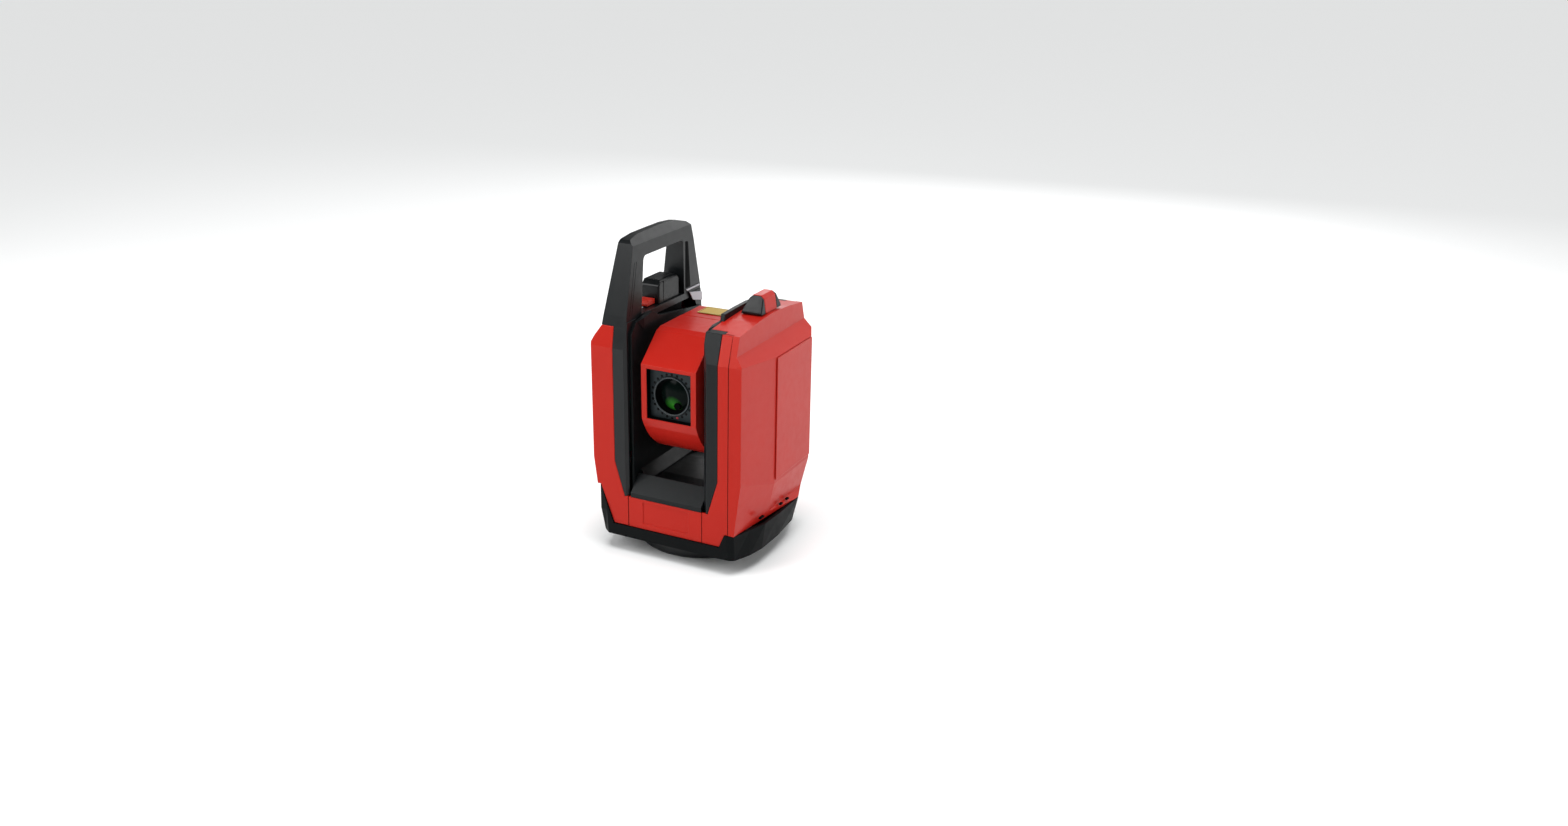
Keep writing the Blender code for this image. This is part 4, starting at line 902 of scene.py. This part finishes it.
# ------------------------------------------------------------------ optical head
@dataclass
class OpticalHead:
    """Red head with its window, lamp ring, objective and label."""

    shell_rounding: float = 1.2 * MM
    lamp_count: int = 24
    lamp_ring: float = 26.2 * MM
    lamp_radius: float = 1.6 * MM
    red_lamp: int = 19
    barrel_depth: float = 8.5 * MM
    glass_radius: float = 18.5 * MM

    def __post_init__(self) -> None:
        """Read the window's and the lens ring's places from the frame."""
        ring_low, ring_high = (np.array(end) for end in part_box("lens_ring"))
        self.axis_z = float((ring_low[2] + ring_high[2]) / 2)
        self.ring_radius = float((ring_high[0] - ring_low[0]) / 2)
        self.ring_front, self.ring_back = float(ring_low[1]), float(ring_high[1])
        self.plate_low, self.plate_high = (np.array(end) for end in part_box("window_plate"))

    def build(self) -> None:
        """Build the shells, then the window from the outside inwards."""
        for node in ("head_front_shell", "head_rear_shell"):
            refined(node, Finish.RED_ABS, self.shell_rounding, 4, merge=0.5 * MM, crisp=9.0)
        refined("window_plate", Finish.WINDOW_PLATE, 0.3 * MM)
        self.window_liner()
        self.lens_ring()
        self.barrel()
        self.objective()
        self.lamps()
        self.label()
        carry_over("lens_tube", Finish.BLACK_OPTIC)
        carry_over("laser_module", Finish.BRASS)
        carry_over("camera_board", Finish.BOARD)

    def window_liner(self) -> None:
        """Line the window's walls: a rounded rectangle carried inwards."""
        low, high = self.plate_low, self.plate_high
        grow = 0.2 * MM
        corners = rectangle(low[[0, 2]] - grow, high[[0, 2]] + grow)
        outer = rounded_profile(corners, [1.2 * MM] * 4)
        middle = corners.mean(axis=0)
        inner = middle + (outer - middle) * (1 - 0.45 * MM / (high[0] - middle[0]))
        front, back = -82.0 * MM, low[1] - 0.05 * MM
        rows = [(outer, back), (outer, front), (inner, front + 0.5 * MM), (inner, back)]
        dress(band("window_liner", rows, "y"), Finish.BLACK_OPTIC, "window_plate")

    def lens_ring(self) -> None:
        """Turn the thin raised ring round the objective."""
        outer, inner = self.ring_radius, self.ring_radius - 2.2 * MM
        front, back = self.ring_front + 0.2 * MM, self.ring_back
        crest = outer - 0.8 * MM
        profile = [(inner, back), (inner, front + 0.5 * MM), (inner + 0.5 * MM, front),
                   (crest, front), (outer, front + 1.0 * MM), (outer, back)]
        radii = [0.1 * MM, 0.3 * MM, 0.25 * MM, 0.3 * MM, 0.3 * MM, 0.1 * MM]
        dress(turned("lens_ring_turned", profile, radii, (0, 0, self.axis_z), "y"),
              Finish.RING, "lens_ring", "lens_ring")

    def barrel(self) -> None:
        """Turn the dark stepped barrel that leads back to the glass."""
        mouth = self.ring_radius - 2.3 * MM
        front = self.ring_front + 1.0 * MM
        back = self.ring_front + self.barrel_depth
        steps = 5
        level = np.repeat(np.linspace(front, back, steps + 1), 2)[1:-1]
        radius = np.repeat(np.linspace(mouth, self.glass_radius, steps), 2)
        inner = list(zip(radius, level))
        outer = [(self.glass_radius, back + 0.6 * MM), (self.glass_radius + 1.5 * MM, back),
                 (mouth, front + 2.0 * MM)]
        profile = inner + outer
        dress(turned("lens_barrel", profile, [0.1 * MM] * len(profile),
                     (0, 0, self.axis_z), "y"), Finish.BLACK_OPTIC, "lens_ring")

    def objective(self) -> None:
        """Turn the domed glass and the small dark aperture in front of it.

        The dome's height falls with the square of its radius.
        """
        back = self.ring_front + self.barrel_depth
        radius = np.linspace(0.0, 1.0, 13)
        dome = [(r * self.glass_radius, back - 4.0 * MM * (1 - r * r)) for r in radius]
        profile = dome + [(self.glass_radius, back + 0.5 * MM), (0.0, back + 0.5 * MM)]
        dress(turned("objective_glass", profile, [0.0] * len(profile),
                     (0, 0, self.axis_z), "y", closed=False),
              Finish.OBJECTIVE, "objective_lens", "objective_lens")
        place = (5.5 * MM, 0, self.axis_z - 12.3 * MM)
        spot = 3.6 * MM
        face, crest, foot = back - 4.4 * MM, back - 4.9 * MM, back - 1.5 * MM
        profile = [(0.0, face), (spot - 0.8 * MM, face), (spot, crest),
                   (spot + 0.6 * MM, face), (spot + 0.6 * MM, foot), (0.0, foot)]
        dress(turned("camera_aperture", profile, [0.0] + [0.2 * MM] * 4 + [0.0], place, "y",
                     32, closed=False), Finish.BLACK_OPTIC, "objective_lens")

    def lamps(self) -> None:
        """Set small dark lamp holes in a ring, with one red lamp among them.

        Each lamp is the same little turned cup, moved to its angle on the ring.
        """
        face, margin = self.plate_low[1], 1.3 * MM
        numbers = np.arange(self.lamp_count)
        angle = 2 * math.pi * numbers / self.lamp_count
        centres = np.stack([self.lamp_ring * np.cos(angle), np.zeros_like(angle),
                            self.axis_z + self.lamp_ring * np.sin(angle)], axis=-1)
        kept = ((np.abs(centres[:, 0]) < self.plate_high[0] - margin)
                & (centres[:, 2] > self.plate_low[2] + margin)
                & (centres[:, 2] < self.plate_high[2] - margin))
        around = np.linspace(0, 2 * math.pi, 12, endpoint=False)
        radius = self.lamp_radius * np.array([0.0, 0.55, 0.9, 1.0, 1.0])[:, None]
        depth = face + MM * np.array([-0.28, -0.25, -0.15, -0.02, 0.2])[:, None]
        cup = on_axis("y", depth + 0 * around, radius * np.cos(around),
                      radius * np.sin(around))
        for name, chosen, finish in (
                ("ring_lamps", kept & (numbers != self.red_lamp), Finish.LAMP_DARK),
                ("red_lamp", numbers == self.red_lamp, Finish.LAMP_RED)):
            grids = centres[chosen][:, None, None] + cup[None]
            count, rows, columns = grids.shape[:3]
            quads = grid_faces(rows, columns)
            faces = quads[None] + (np.arange(count) * rows * columns)[:, None, None]
            piece = mesh_object(name, grids, faces.reshape(-1, 4).tolist())
            dress(piece, finish, "window_plate")

    def label(self) -> None:
        """Stick a plain label with a printed border on the head's top."""
        low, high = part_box("head_label")
        refined("head_label", Finish.LABEL, 0.1 * MM)
        inset, line = 1.6 * MM, 0.5 * MM
        top = high[2] + 0.02 * MM
        corners = rectangle((low[0] + inset, low[1] + inset),
                            (high[0] - inset, high[1] - inset))
        outer = rounded_profile(corners, [1.0 * MM] * 4)
        middle = corners.mean(axis=0)
        half = (corners.max(axis=0) - corners.min(axis=0)) / 2
        inner = middle + (outer - middle) * (1 - line / half)
        under = top - 0.1 * MM
        rows = [(outer, under), (outer, top), (inner, top), (inner, under)]
        dress(band("label_border", rows, "z"), Finish.BLACK_OPTIC, "head_label")


# ------------------------------------------------------------------ rear and inside
@dataclass
class RearAndInside:
    """Power button, rear screws and the parts inside the housings."""

    inner: dict[Finish, tuple[str, ...]] = field(default_factory=lambda: {
        Finish.STEEL: ("yaw_bearing_inner", "yaw_bearing_outer", "yaw_rotor",
                       "trunnion_bearing_left", "trunnion_bearing_right", "tilt_axle_left",
                       "tilt_axle_right", "tilt_rotor"),
        Finish.ALUMINIUM: ("chassis",),
        Finish.COPPER: ("yaw_stator", "tilt_stator"),
        Finish.BOARD: ("main_board", "power_board", "processor_board", "yaw_encoder_reader",
                       "tilt_encoder_reader", "power_switch"),
        Finish.ENCODER: ("yaw_encoder_disc", "tilt_encoder_disc"),
    })

    def build(self) -> None:
        """Build the button and screws, and finish the inner parts."""
        self.button()
        for number in range(1, 5):
            self.screw(f"rear_screw_{number}")
        for finish, nodes in self.inner.items():
            for node in nodes:
                carry_over(node, finish)

    def button(self) -> None:
        """Turn the power button with a dished top."""
        low, high = (np.array(end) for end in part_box("power_button"))
        radius = float(high[0] - low[0]) / 2
        front, back = float(high[1]), float(low[1])
        profile = [(0.0, back), (radius, back), (radius, front),
                   (radius - 1.6 * MM, front), (0.0, front - 0.7 * MM)]
        place = (float(high[0] + low[0]) / 2, 0, float(high[2] + low[2]) / 2)
        dress(turned("power_button_cap", profile, [0.0, 0.3 * MM, 0.7 * MM, 1.2 * MM, 0.0],
                     place, "y", 48, closed=False),
              Finish.BLACK_BOOT, "power_button", "power_button")

    def screw(self, node: str) -> None:
        """Turn a pan-head screw with a round socket."""
        low, high = (np.array(end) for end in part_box(node))
        radius = float(high[0] - low[0]) / 2
        front, back = float(high[1]), float(low[1])
        socket, floor = 0.45 * radius, front - 0.9 * MM
        profile = [(0.0, back), (radius, back), (radius, front), (socket, front),
                   (socket, floor), (0.0, floor)]
        place = (float(high[0] + low[0]) / 2, 0, float(high[2] + low[2]) / 2)
        dress(turned(f"{node}_head", profile,
                     [0.0, 0.1 * MM, 0.5 * MM, 0.1 * MM, 0.05 * MM, 0.0], place, "y", 36,
                     closed=False), Finish.STEEL, node, node)


def main() -> None:
    """Build the set and every piece, in order."""
    logging.basicConfig(level=logging.INFO, format="%(message)s")
    bpy.context.scene.view_settings.view_transform = "Standard"
    Studio().build()
    for assembly in (BaseAndBoot(), Housings(), Handle(), RadioHousing(), OpticalHead(),
                     RearAndInside()):
        LOG.info("%s", type(assembly).__name__)
        assembly.build()


if __name__ == "__main__":
    main()
